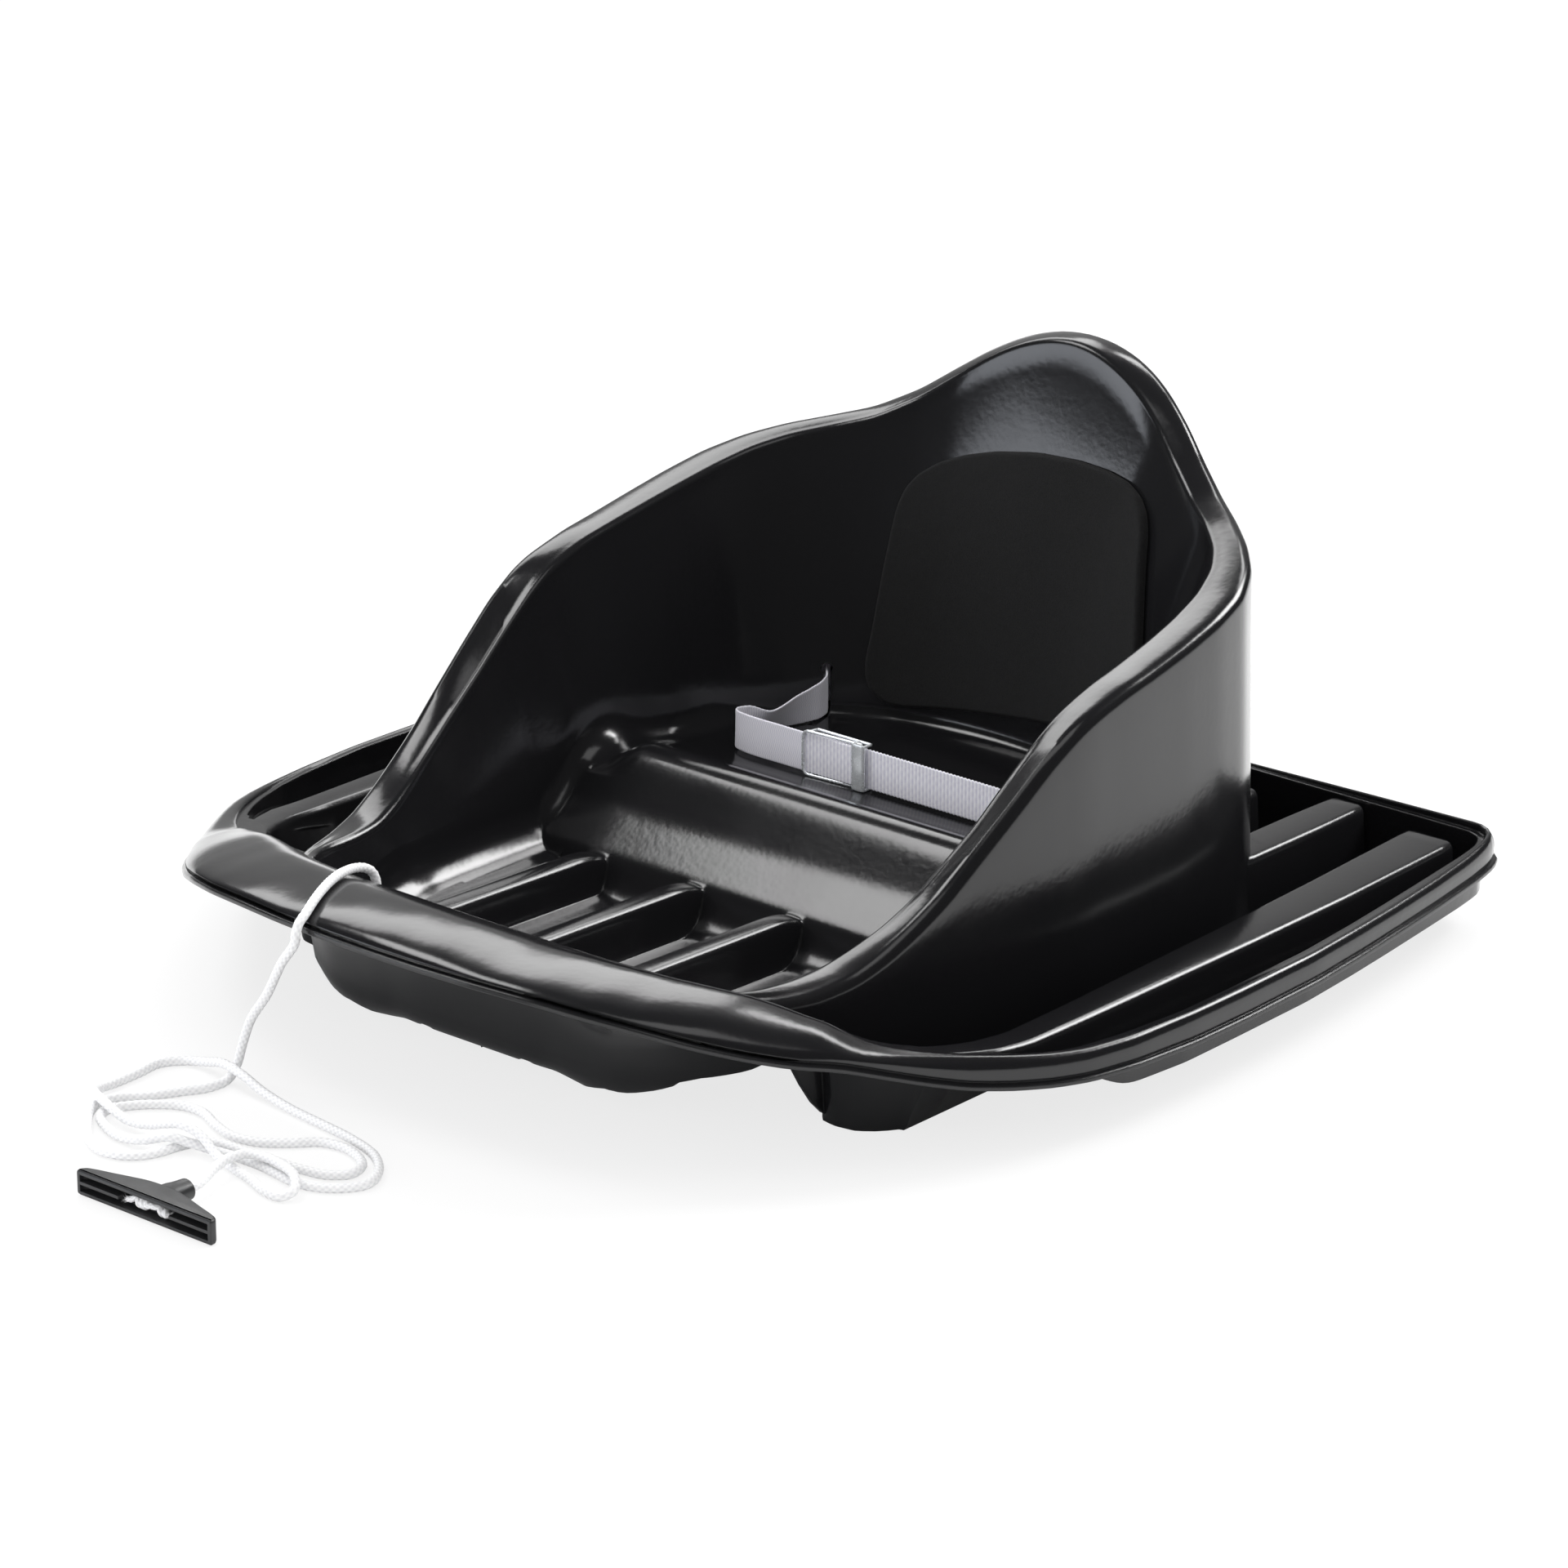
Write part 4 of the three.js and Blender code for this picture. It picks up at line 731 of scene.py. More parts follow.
# Zinc-plated steel with faint brushing and a cloudy plating.
zincLook = {"color": (0.9, 0.92, 0.94), "dull": (0.8, 0.83, 0.86), "roughness": 0.26, "metallic": 0.55,
            "cloud": (420.0, 4.0), "gloss": (0.22, 0.3), "relief": [(2400.0, 3.0, 0.000004)], "edge": 0.0003,
            "edgeSamples": 4}
zinc = hardMaterial("zinc_steel", zincLook)

# Charcoal foam: matt, with open pores about a third of a millimetre across.
foamLook = {"dark": (0.0045, 0.0045, 0.0048), "light": (0.010, 0.010, 0.0105), "roughness": 0.96,
            "cloud": 900.0, "pores": 2900.0, "depth": 0.00022}
foam, tree, shader = newMaterial("foam", foamLook["dark"], foamLook["roughness"], Specular_IOR_Level=0.25,
                                 Sheen_Weight=0.04, Sheen_Roughness=0.6)
pores = addNode(tree, "ShaderNodeTexVoronoi", {"feature": "F1"}, Scale=foamLook["pores"])
feed(pores, "Vector", addNode(tree, "ShaderNodeTexCoord").outputs["Object"])
feed(shader, "Base Color", blendColors(tree, noise(tree, foamLook["cloud"], 4.0), foamLook["dark"],
                                       foamLook["light"]))
feed(shader, "Normal", raised(tree, ranged(tree, pores.outputs["Distance"], 0.0, 1.0, 0.15, 0.7),
                              foamLook["depth"]))


def threadMaterial(name, look, **values):  # the valleys of a weave or braid are darker: painted shade in the grooves
    made, tree, shader = newMaterial(name, look["crown"], look["roughness"], **values)
    weave = addNode(tree, "ShaderNodeAttribute", {"attribute_name": "weave"}).outputs["Fac"]
    feed(shader, "Base Color", blendColors(tree, weave, look["shadedValley"], look["crown"]))
    feed(shader, "Normal", raised(tree, noise(tree, look["thread"], 2.0), look["depth"]))
    return made


# Woven polyester tape and white braided rope, both with their relief in the mesh and painted shade in the
# valleys of the relief.
# The valley colour is painted shade in the weave's grooves, tinted lavender; the crown colour is the tape's
# own.
webbingLook = {"shadedValley": (0.6, 0.58, 0.7), "crown": (0.95, 0.945, 0.975), "roughness": 0.62, "thread": 4200.0,
               "depth": 0.00006}
webbing = threadMaterial("webbing", webbingLook, Sheen_Weight=0.35, Sheen_Roughness=0.45)
# The valley colour is painted shade in the braid's grooves; the crown colour is the rope's own.
ropeLook = {"shadedValley": (0.66, 0.66, 0.68), "crown": (0.95, 0.95, 0.95), "roughness": 0.55, "thread": 5200.0,
            "depth": 0.00005}
ropeWhite = threadMaterial("rope_white", ropeLook, Sheen_Weight=0.3)
print("materials done")


# Foam pad: a die-cut sheet that follows the inside of the backrest, a few degrees out of true.
pad = {
    "outline": [(76, -66.5), (85, -64.5), (91.5, -59.5), (95.3, -52), (95.8, -42), (93.2, -27), (89.5, -1),
                (86.3, 20), (83.6, 39), (80, 49), (73.6, 56.5), (62, 63), (46.5, 67.5), (26, 71), (0, 72.8)],
    "middle": (4, 143), "turn": math.radians(6.2), "gap": 1.0, "thick": 5, "edge": 2.4, "edgeThick": 0.32,
    "borders": (0.075, 0.055, 0.04, 0.028, 0.02, 0.013, 0.007, 0.0025, 0),
    "around": 400, "smooth": 2.5, "slopeOver": 4, "seenFrom": 120, "missed": 200.0,
}


def backPad():
    wallTree = BVHTree.FromObject(shell, bpy.context.evaluated_depsgraph_get())

    def backrest(xs, zs):  # the depth of the backrest at points x, z
        starts = [Vector((x * mm, pad["seenFrom"] * mm, z * mm)) for x, z in zip(xs, zs)]
        hits = [wallTree.ray_cast(start, Vector((0, 1, 0)))[0] for start in starts]
        return np.array([hit[1] / mm if hit else pad["missed"] for hit in hits])

    outline = numbers(pad["outline"])
    outline = np.vstack([outline, outline[-2::-1] * (-1, 1)])
    outline = smoothRows(outline, chords(outline), pad["around"], pad["smooth"])
    reach = np.linalg.norm(outline, axis=1)
    cos, sin, d = math.cos(pad["turn"]), math.sin(pad["turn"]), pad["slopeOver"]
    front, rear = [], []
    for share in np.concatenate([np.linspace(0.03, 0.9, 14), 1 - np.array(pad["borders"])]):
        inner = np.clip((1 - share) * reach / pad["edge"], 0, 1)
        lift = pad["thick"] * lerp(pad["edgeThick"], 1, np.sqrt(1 - (1 - inner) ** 2))
        ring = outline * share
        x = pad["middle"][0] + cos * ring[:, 0] - sin * ring[:, 1]
        z = pad["middle"][1] + sin * ring[:, 0] + cos * ring[:, 1]
        slopeX = (backrest(x + d, z) - backrest(x - d, z)) / (2 * d)
        slopeZ = (backrest(x, z + d) - backrest(x, z - d)) / (2 * d)
        normal = unit(np.stack([slopeX, -np.ones_like(x), slopeZ], 1))
        surface = np.stack([x, backrest(x, z), z], 1)
        front.append(surface + normal * (pad["gap"] + lift)[:, None])
        rear.append(surface + normal * pad["gap"])
    made = ringSolid("foam_pad", front + rear[::-1])
    shadeByAngle(made, 50)
    finished(made, foam)
    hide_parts("back_pad")
    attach(made, "sled")


backPad()
print("pad done")


# Lap belt: two woven tapes that stand on edge. A lean is in degrees, one for each point of the path.
belt = {
    "width": slot["tape"], "thick": slot["thick"], "base": slot["base"], "step": 0.3, "across": 26,
    "stitched": 9, "stitchedBulge": 1.9, "rib": 2.4, "cell": 1.5, "ribDepth": 0.16, "twill": 1.3,
    "zigzag": 2.8, "twillDepth": 0.07, "selvedge": 0.7, "scallop": 0.28, "plainScallop": 0.35, "shift": 0.4,
    "corner": [(107, 102.8), (108, 116), (106, 133), (101, 148), slot["lead"][1], slot["at"],
               *slot["behind"]],
    "far": [(-14, 91.8), (-40, 91.8), (-66, 91.8), (-92, 92.2), (-102, 94.8)],
    "near": [(-46, 93.3), (-20, 93.3), (20, 93.3), (60, 93.3), (90, 93.7), (102, 96.3)],
    "farLean": [0, 0, 0, 0, 0, -14, -38, -31, -16, -5, 0, 0, 0],
}


def wovenRelief(along, across, ribbed):
    rib = np.sin(2 * np.pi * along / belt["rib"])
    cell = np.sin(2 * np.pi * across / belt["cell"] + np.pi * np.floor(along / belt["rib"]))
    ribs = 0.62 * np.sqrt(np.abs(rib)) * np.sign(rib) + 0.3 * cell
    zigzag = np.abs((across / belt["zigzag"]) % 1 - 0.5) * belt["zigzag"]
    twill = np.sin(2 * np.pi * (along + 1.6 * zigzag) / belt["twill"])
    return np.where(ribbed, ribs, twill), np.where(ribbed, belt["ribDepth"], belt["twillDepth"])


def wovenTape(name, node, side, run, leans, ribbedFrom):  # ribbed from an x on, and twilled before it
    path = [(*point, lean) for point, lean in zip(run + [(side * x, y) for x, y in belt["corner"]], leans)]
    path = np.insert(numbers(path), 2, belt["base"], axis=1)
    length = np.linalg.norm(np.diff(curveThrough(path, 400)[:, :3], axis=0), axis=1).sum()
    line = curveThrough(path, int(length / belt["step"]))
    run = runOf(line[:, :2])
    ahead = unit(np.gradient(line[:, :2], axis=0))
    left = np.stack([-ahead[:, 1], ahead[:, 0], 0 * ahead[:, 0]], 1)
    lean = np.radians(line[:, 3])[:, None]
    upright = np.array([0, 0, 1.0])
    up = upright * np.cos(lean) - side * left * np.sin(lean)
    out = left * np.cos(lean) + side * upright * np.sin(lean)
    tail = np.clip((run - (run[-1] - belt["stitched"])) / 2, 0, 1)
    half = belt["thick"] / 2 + tail * belt["stitchedBulge"]
    across = np.linspace(0, 1, belt["across"])
    v = (0.5 - 0.5 * np.cos(np.pi * across) * (0.85 + 0.15 * np.cos(np.pi * across) ** 2)) * belt["width"]
    alongGrid, acrossGrid = np.meshgrid(run, v, indexing="ij")
    ribbed = np.broadcast_to(line[:, 0, None] > ribbedFrom, acrossGrid.shape)
    rim = np.clip(np.minimum(v, belt["width"] - v) / belt["selvedge"], 0, 1)
    body = half[:, None] * np.sqrt(1 - (1 - rim) ** 2)[None, :]
    edge = belt["scallop"] * np.sin(2 * np.pi * alongGrid / belt["rib"]) * (1 - rim)[None, :]
    edge = edge * np.where(ribbed, 1, belt["plainScallop"])
    rise = (acrossGrid + edge * np.sign(acrossGrid - belt["width"] / 2))[:, :, None]
    rings, shades = [], []
    for face, shift in ((1, 0), (-1, belt["shift"])):
        relief, depth = wovenRelief(alongGrid + shift, acrossGrid, ribbed)
        height = body - depth * (0.5 - 0.5 * relief) * rim[None, :]
        rings.append(line[:, None, :3] + up[:, None] * rise + out[:, None] * (face * height)[:, :, None])
        # painted shade: the share is lower in the weave's valleys, which take the darker valley colour
        shades.append(np.clip(0.55 + 0.45 * relief, 0, 1))
    made = ringSolid(name, np.concatenate([rings[0], rings[1][:, -2:0:-1]], 1))
    setWeaveShade(made, np.concatenate([shades[0], shades[1][:, -2:0:-1]], 1))
    made.data.shade_smooth()
    finished(made, webbing)
    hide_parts(node)
    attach(made, "sled")


wovenTape("belt_tape_far", "belt_far", -1, belt["far"], belt["farLean"], -52)
wovenTape("belt_tape_near", "belt_near", 1, belt["near"], [0] * 14, -999)
print("belts done")


# Tubes along a path, with a frame that turns as little as it can.
def tube(name, line, radii, sides):
    line = numbers(line)
    ahead = unit(np.gradient(line, axis=0))
    side = np.cross(ahead[0], (0.13, 0.2, 1))
    across = []
    for d in ahead:
        side = unit(side - d * side.dot(d))
        across.append(side)
    turn = circle(sides)[None, :, None]
    ring = numbers(across)[:, None] * np.cos(turn) + np.cross(ahead, across)[:, None] * np.sin(turn)
    return ringSolid(name, line[:, None] + ring * np.broadcast_to(radii, (len(line), sides))[:, :, None])


def joinAll(name, parts):
    points, faces, base = [], [], 0
    for part in parts:
        points += [tuple(v.co) for v in part.data.vertices]
        faces += [[base + i for i in p.vertices] for p in part.data.polygons]
        base += len(part.data.vertices)
        remove(part)
    return newObject(name, np.array(points) / mm, faces)


# Steel slide of the belt: a bent wire frame, a rolled flat bar in front and a bar behind the tapes.
slideLook = {"left": -51.2, "right": -12.5, "low": 60.2, "high": 84.6, "front": 89.95, "behind": 95.7,
             "wire": 0.82, "corner": 4.0, "bar": 9.0, "plate": 0.95, "end": 0.85, "link": 0.8,
             "rear": 1.0, "rearAt": -30.5}


def beltSlide():
    s = slideLook
    left, right, low, high = s["left"], s["right"], s["low"], s["high"]
    front, behind = s["front"], s["behind"]
    path = [(right, behind - 2.6, high - 0.2)]
    for start, level, squash in ((90, high, 1), (180, low, 0.8)):
        for a in arcOf(start, start + 90, 8):
            z = s["corner"] * (math.sin(a) - 1 if level == high else math.sin(a) + 1) * squash
            path.append((left + s["corner"] * (1 + math.cos(a)), front + 0.5, level + z))
    path.append((right, behind - 2.6, low + 0.1))
    parts = [tube("wire", curveThrough(path, 150), s["wire"], 14)]
    section = [(s["bar"] / 2 * math.copysign(abs(math.cos(a)) ** 0.5, math.cos(a)),
                s["plate"] * math.copysign(abs(math.sin(a)) ** 0.8, math.sin(a))) for a in circle(36)]
    levels = [low - 0.35, low - 0.1, *np.linspace(low + 0.3, high - 0.1, 24), high + 0.5, high + 0.9]
    shrinks = [0.82, 0.95] + [1] * (len(levels) - 4) + [0.95, 0.82]
    parts.append(ringSolid("plate", [[(right + u * shrink, front + v * shrink - 0.0035 * (20 - u * u), z)
                                      for u, v in section] for z, shrink in zip(levels, shrinks)]))
    for x in (right - 3.6, right + 3.6):
        for z in (high + 0.1, low + 0.25):
            parts.append(tube("end", [(x, front, z), (x, behind - 0.4, z)], s["end"], 12))
    rear = [(s["rearAt"], behind + 0.3, z) for z in np.linspace(low, high + 0.6, 12)]
    parts.append(tube("rear", rear, s["rear"], 14))
    for z in (high + 0.2, low + 0.25):
        rail = [(x, behind - 0.1, z) for x in np.linspace(left + 6, right + 4.2, 12)]
        parts.append(tube("rail", rail, s["end"], 12))
        parts.append(tube("link", [(left + 5, front + 0.6, z), (left + 6.2, behind - 0.3, z)], s["link"], 12))
    made = joinAll("belt_slide_steel", parts)
    shadeByAngle(made, 42)
    finished(made, zinc)
    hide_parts("belt_slide")
    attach(made, "slide")


beltSlide()
print("slide done")


# Pull rope: a braid with five strands round it each way.
def braidedTube(name, line, radius):
    turn, run = circle(rope["sides"]), runOf(line)
    weave = np.cos(rope["strands"] * turn)[None, :] * np.cos(2 * math.pi * run / rope["pitch"])[:, None]
    radii = np.broadcast_to(radius, len(line))[:, None] - rope["strand"] * (0.5 - 0.5 * weave)
    made = tube(name, line, radii, rope["sides"])
    # painted shade: the braid's valleys take the darker valley colour
    setWeaveShade(made, np.clip(0.62 + 0.5 * weave, 0, 1))
    made.data.shade_smooth()
    finished(made, ropeWhite)
    return made


# Loose fibres at a cut rope end, as thin cones that a node tree sets on a small patch.
fray = {"count": 46, "length": 3.4, "spread": 0.75, "thick": 0.11, "perArea": 2.2e5, "tilt": (1, 1, 3),
        "scale": (0.45, 1.0)}


def fibreTree():
    tree = bpy.data.node_groups.new("fibres", "GeometryNodeTree")
    for label, kind in (("Geometry", "Geometry"), ("Count", "Int"), ("Length", "Float"), ("Spread", "Float"),
                        ("Thickness", "Float"), ("Seed", "Int"), ("Material", "Material")):
        tree.interface.new_socket(label, in_out="INPUT", socket_type="NodeSocket" + kind)
    tree.interface.new_socket("Geometry", in_out="OUTPUT", socket_type="NodeSocketGeometry")
    start, end = tree.nodes.new("NodeGroupInput").outputs, tree.nodes.new("NodeGroupOutput")
    spread = addNode(tree, "GeometryNodeDistributePointsOnFaces")
    area = addNode(tree, "ShaderNodeMath", {"operation": "MULTIPLY"})
    area.inputs[1].default_value = fray["perArea"]
    feed(area, 0, start["Count"])
    feed(spread, "Mesh", start["Geometry"])
    feed(spread, "Density", area.outputs[0])
    feed(spread, "Seed", start["Seed"])
    cone = addNode(tree, "GeometryNodeMeshCone", {"fill_type": "NGON"}, Vertices=5, Side_Segments=3,
                   Radius_Top=0.0)
    feed(cone, "Radius Bottom", start["Thickness"])
    feed(cone, "Depth", start["Length"])
    tilt = addNode(tree, "FunctionNodeRandomValue", {"data_type": "FLOAT_VECTOR"})
    for place, sign in enumerate((-1, 1)):
        bound = addNode(tree, "ShaderNodeVectorMath", {"operation": "SCALE"})
        bound.inputs[0].default_value = [sign * value for value in fray["tilt"]]
        feed(bound, "Scale", start["Spread"])
        feed(tilt, place, bound.outputs[0])
    feed(tilt, "Seed", start["Seed"])
    tiltAngle = addNode(tree, "FunctionNodeEulerToRotation")
    feed(tiltAngle, 0, tilt.outputs[0])
    turned = addNode(tree, "FunctionNodeRotateRotation", {"rotation_space": "LOCAL"})
    feed(turned, 0, spread.outputs["Rotation"])
    feed(turned, 1, tiltAngle.outputs[0])
    size = addNode(tree, "FunctionNodeRandomValue", {"data_type": "FLOAT"})
    for socket, value in zip([s for s in size.inputs if s.type == "VALUE"], fray["scale"]):
        socket.default_value = value
    copies = addNode(tree, "GeometryNodeInstanceOnPoints")
    feed(copies, "Points", spread.outputs["Points"])
    feed(copies, "Instance", cone.outputs["Mesh"])
    feed(copies, "Rotation", turned.outputs[0])
    feed(copies, "Scale", [s for s in size.outputs if s.type == "VALUE"][0])
    real, dress = addNode(tree, "GeometryNodeRealizeInstances"), addNode(tree, "GeometryNodeSetMaterial")
    feed(real, 0, copies.outputs["Instances"])
    feed(dress, "Geometry", real.outputs[0])
    feed(dress, "Material", start["Material"])
    feed(end, 0, dress.outputs[0])
    return tree


fibres = fibreTree()


def nodesToMesh(made, tree, values):
    step = made.modifiers.new("nodes", "NODES")
    step.node_group = tree
    for item in tree.interface.items_tree:
        if item.in_out == "INPUT" and item.name in values:
            step[item.identifier] = values[item.name]
    bpy.context.view_layer.update()
    return takeResult(made)


def tuft(name, at, ahead, radius, seed):
    ahead, sides = unit(ahead), 12
    a = unit(np.cross(ahead, (0.1, 0.2, 1)))
    made = newObject(name, ringAt(at, a, np.cross(ahead, a), radius, sides), [list(range(sides))])
    if Vector(ahead).dot(made.data.polygons[0].normal) < 0:
        made.data.flip_normals()
    made = nodesToMesh(made, fibres, {
        "Count": fray["count"], "Length": fray["length"] * mm, "Spread": fray["spread"],
        "Thickness": fray["thick"] * mm, "Seed": seed, "Material": ropeWhite,
    })
    # the fibres take a fixed share, a quarter of the way towards the valleys' painted shade
    setWeaveShade(made, np.full(len(made.data.vertices), 0.75))
    return made


stopLook = {"middle": (-65, -241.9, 72), "size": (1.42, 2.6, 1.42), "radius": 2.25, "steps": 420,
            "in": [(-66.2, -234.6, 72.4), (-66.6, -237.6, 69.4)],
            "out": [(-66.6, -246.6, 68.4), (-65.6, -248.2, 71.4)]}


def stopKnot():
    t = arcOf(-158, 158, 160)
    loops = np.stack([np.sin(t) + 2 * np.sin(2 * t), -np.sin(3 * t), np.cos(t) - 2 * np.cos(2 * t)], 1)
    loops = stopLook["middle"] + loops * stopLook["size"]
    path = np.vstack([stopLook["in"], loops[6:-6:6], stopLook["out"]])
    made = braidedTube("stop_knot_rope", curveThrough(path, stopLook["steps"]), stopLook["radius"])
    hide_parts("rope_stop_knot")
    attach(made, "sled")
    return made


knotLook = {"at": (-442.7, 6.9), "coil": 1.75, "turns": 2.25, "advance": 2.9, "tail": 1.0, "tailTurns": 1.3,
            "tailAdvance": 3.4, "steps": 460,
            "along": [0, 0.03, 0.1, 0.9, 0.97, 1], "radii": [1.5, 1.75, 1.7, 1.75, 1.8, 1.3]}


def handleKnot():
    y, z = knotLook["at"]
    path = [(-8.6, y - 0.4, z - 1.2), (-5.6, y - 0.6, z - 0.4), (-2.6, y - 0.4, z + 1.2)]
    for t in np.linspace(0, knotLook["turns"], 26):
        a = 2 * math.pi * t + 1.5
        path.append((-0.6 + knotLook["advance"] * t, y + knotLook["coil"] * math.cos(a),
                     z + knotLook["coil"] * math.sin(a)))
    path += [(8.6, y - 1.2, z + 0.5), (11.4, y - 0.8, z + 0.5)]
    for t in np.linspace(0, knotLook["tailTurns"], 16):
        a = 2 * math.pi * t + 1.2
        path.append((13.4 + knotLook["tailAdvance"] * t, y + knotLook["tail"] * math.cos(a),
                     z - 0.5 - 0.9 * t + knotLook["tail"] * math.sin(a)))
    path.append((19.6, y, z - 1.5))
    line = curveThrough(path, knotLook["steps"])
    radii = np.interp(np.linspace(0, 1, len(line)), knotLook["along"], knotLook["radii"])
    made = braidedTube("handle_knot_rope", line, radii)
    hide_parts("handle_knot")
    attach(made, "sled")
    ends = [tuft("knot_fibres_left", line[0], line[0] - line[6], 1.25, 3),
            tuft("knot_fibres_right", line[-1], line[-1] - line[-7], 1.1, 5)]
    for end in ends:
        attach(end, "sled")
    return [made] + ends


# T-handle: arched grip, open on one long side with a shelf in the hollow, and a bored neck.
handle = {
    "at": (6, -441, 6.8), "length": 91, "height": 13, "wall": 2.2, "face": -6, "round": 1.7, "tip": 5.6,
    "root": 7.0, "neck": 24, "flare": 3.4, "bore": 3.1, "shelf": 0.8, "corner": 0.8, "pocketCorner": 1.8,
    "upperDepth": 3.4, "lowerDepth": 0.8, "opening": (17, 3.2), "boreEnds": (-8, 40),
    "back": [(0, 9.5), (10, 8.8), (20, 6.4), (30, 3.6), (39, 1.2), (43.5, -0.6), (45.5, -3)],
}


def wholeOutline(half):
    return np.vstack([half, half[::-1][:-1] * (-1, 1)])


def gripOutline():
    x, r = handle["back"][-1][0], handle["corner"]
    corner = [(x - r + r * math.cos(a), handle["face"] + r + r * math.sin(a)) for a in arcOf(0, -90, 7)]
    return wholeOutline(np.vstack([curveThrough(handle["back"], 60), corner]))


def pocket(low, high, reach, depth):
    face, w, r = handle["face"], handle["wall"], handle["pocketCorner"]
    points = [(x, min(y - w, depth)) for x, y in curveThrough(handle["back"], 40) if x < reach - 2.5]
    y = min(points[-1][1], face + 4) - 0.6
    points += [(reach - r + r * math.cos(a), y + r * (math.sin(a) - 1)) for a in arcOf(75, 0, 5)]
    return prism("pocket", wholeOutline(numbers(points + [(reach, face - 3)])), low, high)


def pullHandle():
    h, face, w, r = handle["height"] / 2, handle["face"], handle["wall"], handle["round"]
    outline = gripOutline()
    levels = [(r * (1 - math.sin(a)), h - r * (1 - math.cos(a))) for a in arcOf(0, 90, 6)]
    levels = [(inset, -z) for inset, z in levels] + levels[::-1]
    made = ringSolid("pull_handle", [np.column_stack([grown(outline, -inset), np.full(len(outline), z)])
                                     for inset, z in levels])
    tip, root, length = handle["tip"], handle["root"], handle["neck"]
    neck = []
    for y in [0, 4, *np.linspace(6, length - 2.2, 22), *(length - 1 - np.array([0.8, 0.45, 0.18, 0.03, 0]))]:
        radius = tip + (root - tip) * (1 - y / length) + handle["flare"] * math.exp(-max(0, y - 6.5) / 3.2)
        radius -= 0.8 * (1 - math.sqrt(1 - np.clip((y - (length - 1.8)) / 0.8, 0, 1) ** 2))
        neck.append([(radius * math.cos(t), y, min(radius * 0.93, 6.35) * math.sin(t)) for t in circle(48)])
    made = combine(made, ringSolid("neck", neck), "UNION")
    reach, shelf = handle["length"] / 2 - w, handle["shelf"]
    x, y, z = np.eye(3)
    wide, inner = handle["opening"]
    for cut in (pocket(shelf, h - w, reach, handle["upperDepth"]),
                pocket(-h + w, -shelf, reach, handle["lowerDepth"]),
                box(-wide, wide, face - 3, inner, -h + w + 0.4, h - w),
                rod("bore", np.zeros(3), y, x, z, handle["bore"], 32, handle["boreEnds"])):
        made = combine(made, cut, "DIFFERENCE")
    made.data.transform(Matrix.Translation(Vector(handle["at"]) * mm))
    shadeByAngle(made, 35)
    finished(made, grey)
    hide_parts("rope_handle")
    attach(made, "sled")
    return made


stop = stopKnot()
grip = pullHandle()
knotPieces = handleKnot()
ropeLine = curveThrough(ropePoints, rope["steps"])
ropeLength = runOf(ropeLine)[-1]
ropeMade = braidedTube("braided_rope", ropeLine, rope["diameter"] / 2)
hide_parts("pull_rope")
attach(ropeMade, "sled")
tuple(np.array(ropePoints[10]) * mm)
print("rope done", round(ropeLength))


# Studio: white surroundings for the camera, grey for what the plastic mirrors, and soft boxes.
# A box is its name, width and height, place, what it points at, power and colour.
studio = {
    "ambient": 0.95, "dark": 0.06, "horizon": 0.5, "bandTowards": (-0.62, 0.7, 0.35), "bandFrom": 0.78,
    "floor": 0.88, "glow": 0.78, "floorSize": 6000,
    "boxes": [
        ("back_box", (1.6, 0.7), (-1.35, 0.98, 1.4), (0, 0, 0.1), 15, (1, 1, 1)),
        ("right_back_box", (0.8, 0.6), (0.62, 1.55, 1.45), (0, 0, 0.1), 28, (1, 1, 1)),
        ("rim_box", (0.7, 0.25), (-0.25, 1.6, 1.65), (0, 0, 0.1), 5, (1, 1, 1)),
        ("top_box", (0.9, 0.9), (0.5, -0.2, 2.0), (0, 0, 0), 4, (1, 1, 1)),
        ("left_box", (0.6, 0.6), (-0.95, -0.36, 1.6), (0, 0, 0.1), 9, (1, 1, 1)),
        ("front_box", (1.3, 0.8), (-1.6, -2.1, 0.5), (0, 0, 0.2), 13, (0.88, 0.92, 1)),
    ],
}
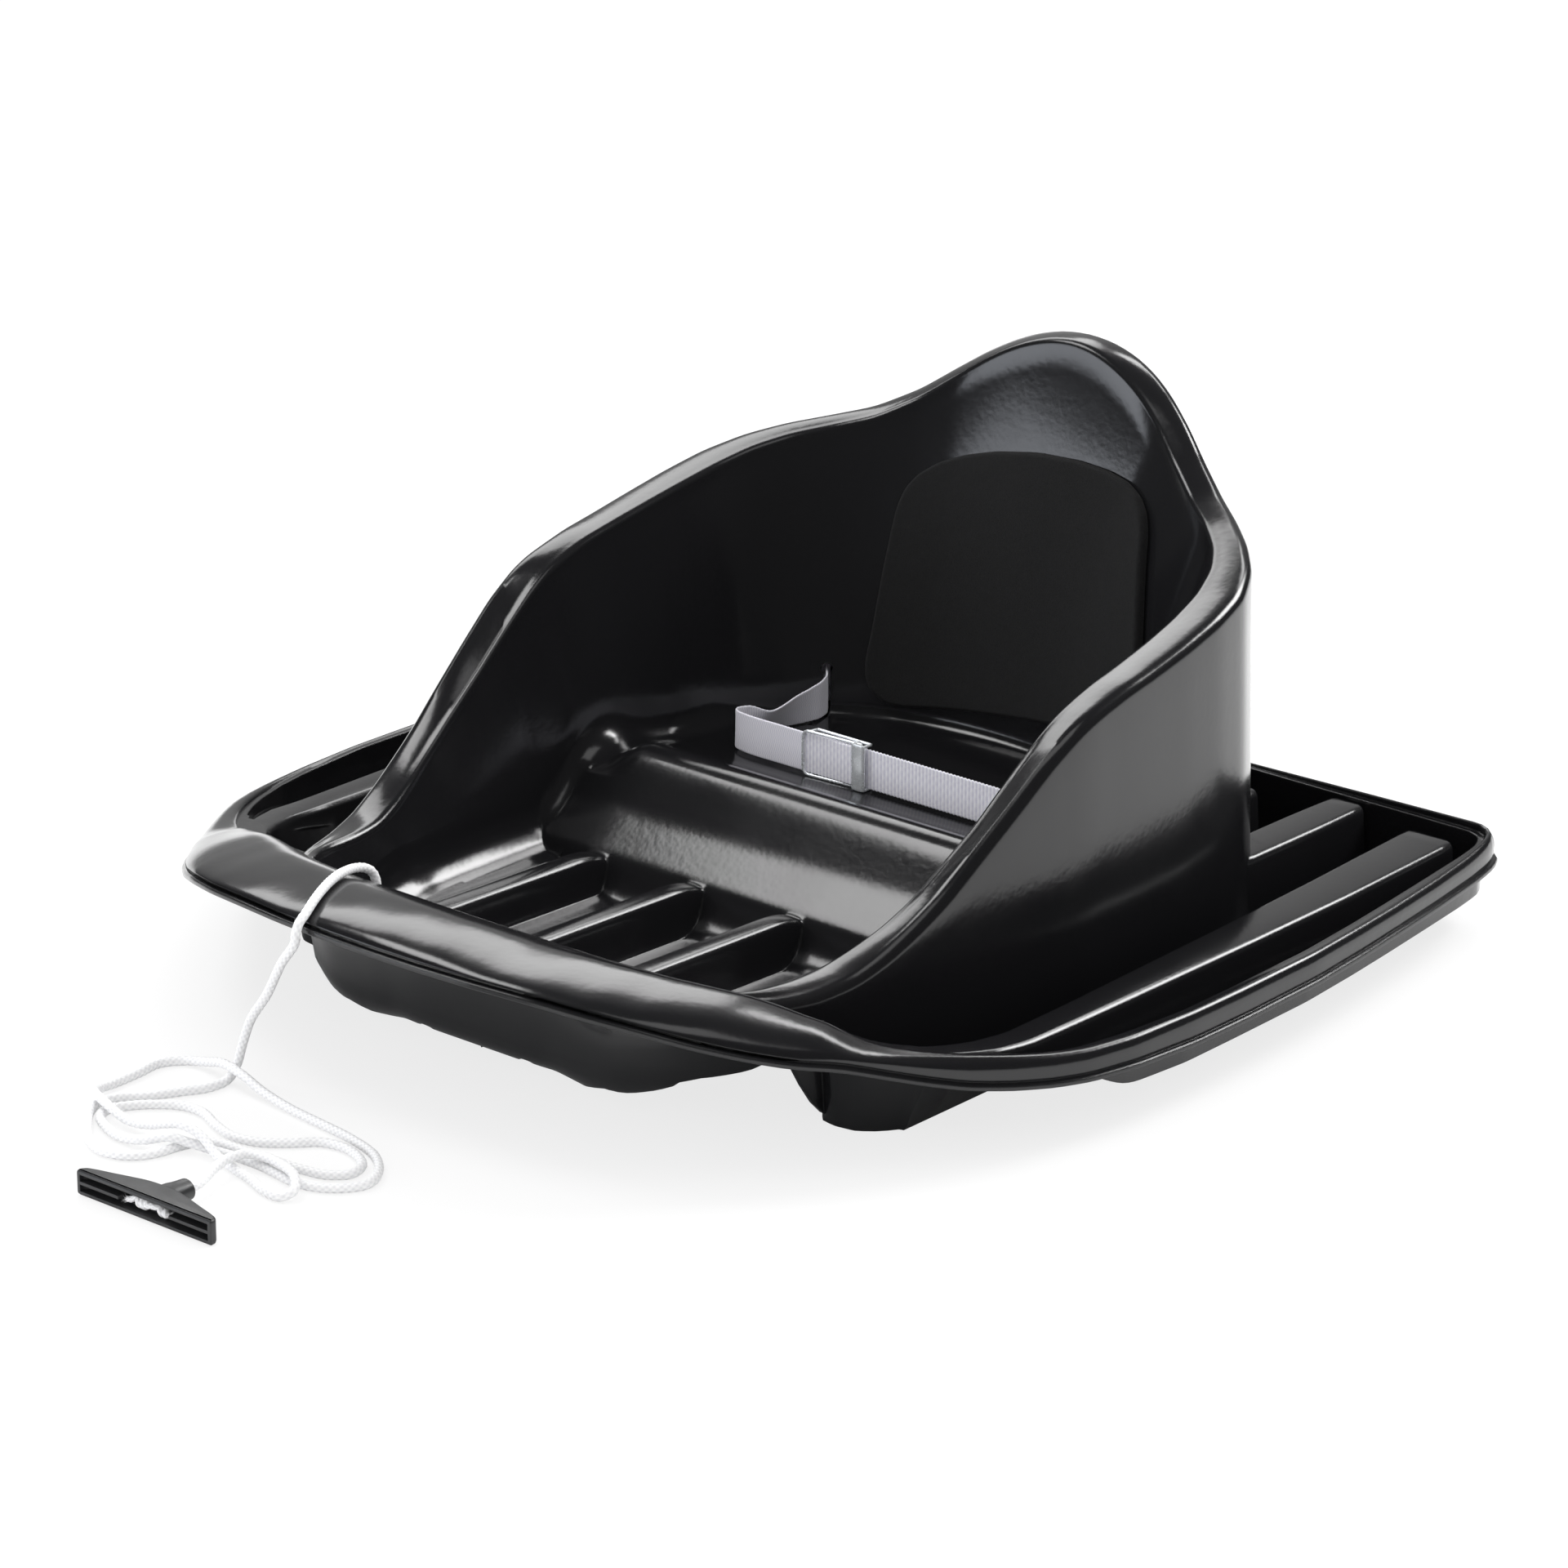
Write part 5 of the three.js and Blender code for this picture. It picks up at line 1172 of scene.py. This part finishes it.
for name, size, where, aim, power, color in studio["boxes"]:
    light = bpy.data.lights.new(name, "AREA")
    light.shape, light.size, light.size_y = "RECTANGLE", *size
    light.energy, light.spread, light.color = power, math.pi, color
    lamp = bpy.data.objects.new(name, light)
    scene.collection.objects.link(lamp)
    lamp.location = where
    lamp.rotation_euler = (Vector(aim) - Vector(where)).to_track_quat("-Z", "Y").to_euler()
    lamp.visible_camera = False


def floatMix(tree, factor, low, high):  # low or high may be a number or a socket
    node = addNode(tree, "ShaderNodeMix", {"data_type": "FLOAT"})
    feed(node, 0, factor)
    for place, value in ((2, low), (3, high)):
        if isinstance(value, float):
            node.inputs[place].default_value = value
        else:
            feed(node, place, value)
    return node.outputs[0]


# What the gloss mirrors is dark, apart from a dim bright band low behind the left side.
world = bpy.data.worlds.new("studio")
scene.world = world
world.use_nodes = True
tree = world.node_tree
background = tree.nodes["Background"]
ray = addNode(tree, "ShaderNodeLightPath").outputs
toBack = addNode(tree, "ShaderNodeVectorMath", {"operation": "DOT_PRODUCT"})
toBack.inputs[1].default_value = studio["bandTowards"]
feed(toBack, 0, addNode(tree, "ShaderNodeTexCoord").outputs["Generated"])
band = addNode(tree, "ShaderNodeMapRange", {"interpolation_type": "SMOOTHSTEP"}, From_Min=studio["bandFrom"],
               From_Max=1.0, To_Min=studio["dark"], To_Max=studio["horizon"])
feed(band, "Value", toBack.outputs["Value"])
mirrored = floatMix(tree, ray["Is Glossy Ray"], studio["ambient"], band.outputs["Result"])
feed(background, "Strength", floatMix(tree, ray["Is Camera Ray"], mirrored, 1.0))
background.inputs["Color"].default_value = (1, 1, 1, 1)

far = studio["floorSize"]
floorMesh = newObject("studio_floor", [(-far, -far, 0), (far, -far, 0), (far, far, 0), (-far, far, 0)],
                      [(0, 1, 2, 3)])
pale, tree, shader = newMaterial("pale_floor", (studio["floor"],) * 3, 0.9)
share = addNode(tree, "ShaderNodeMath", {"operation": "MULTIPLY"})
share.inputs[1].default_value = studio["glow"]
feed(share, 0, addNode(tree, "ShaderNodeLightPath").outputs["Is Camera Ray"])
mix = addNode(tree, "ShaderNodeMixShader")
for place, source in enumerate((share, shader, addNode(tree, "ShaderNodeEmission", Strength=1.0))):
    feed(mix, place, source.outputs[0])
feed(tree.nodes["Material Output"], "Surface", mix.outputs[0])
finished(floorMesh, pale)
print("studio done")

scene.view_settings.view_transform = "Standard"
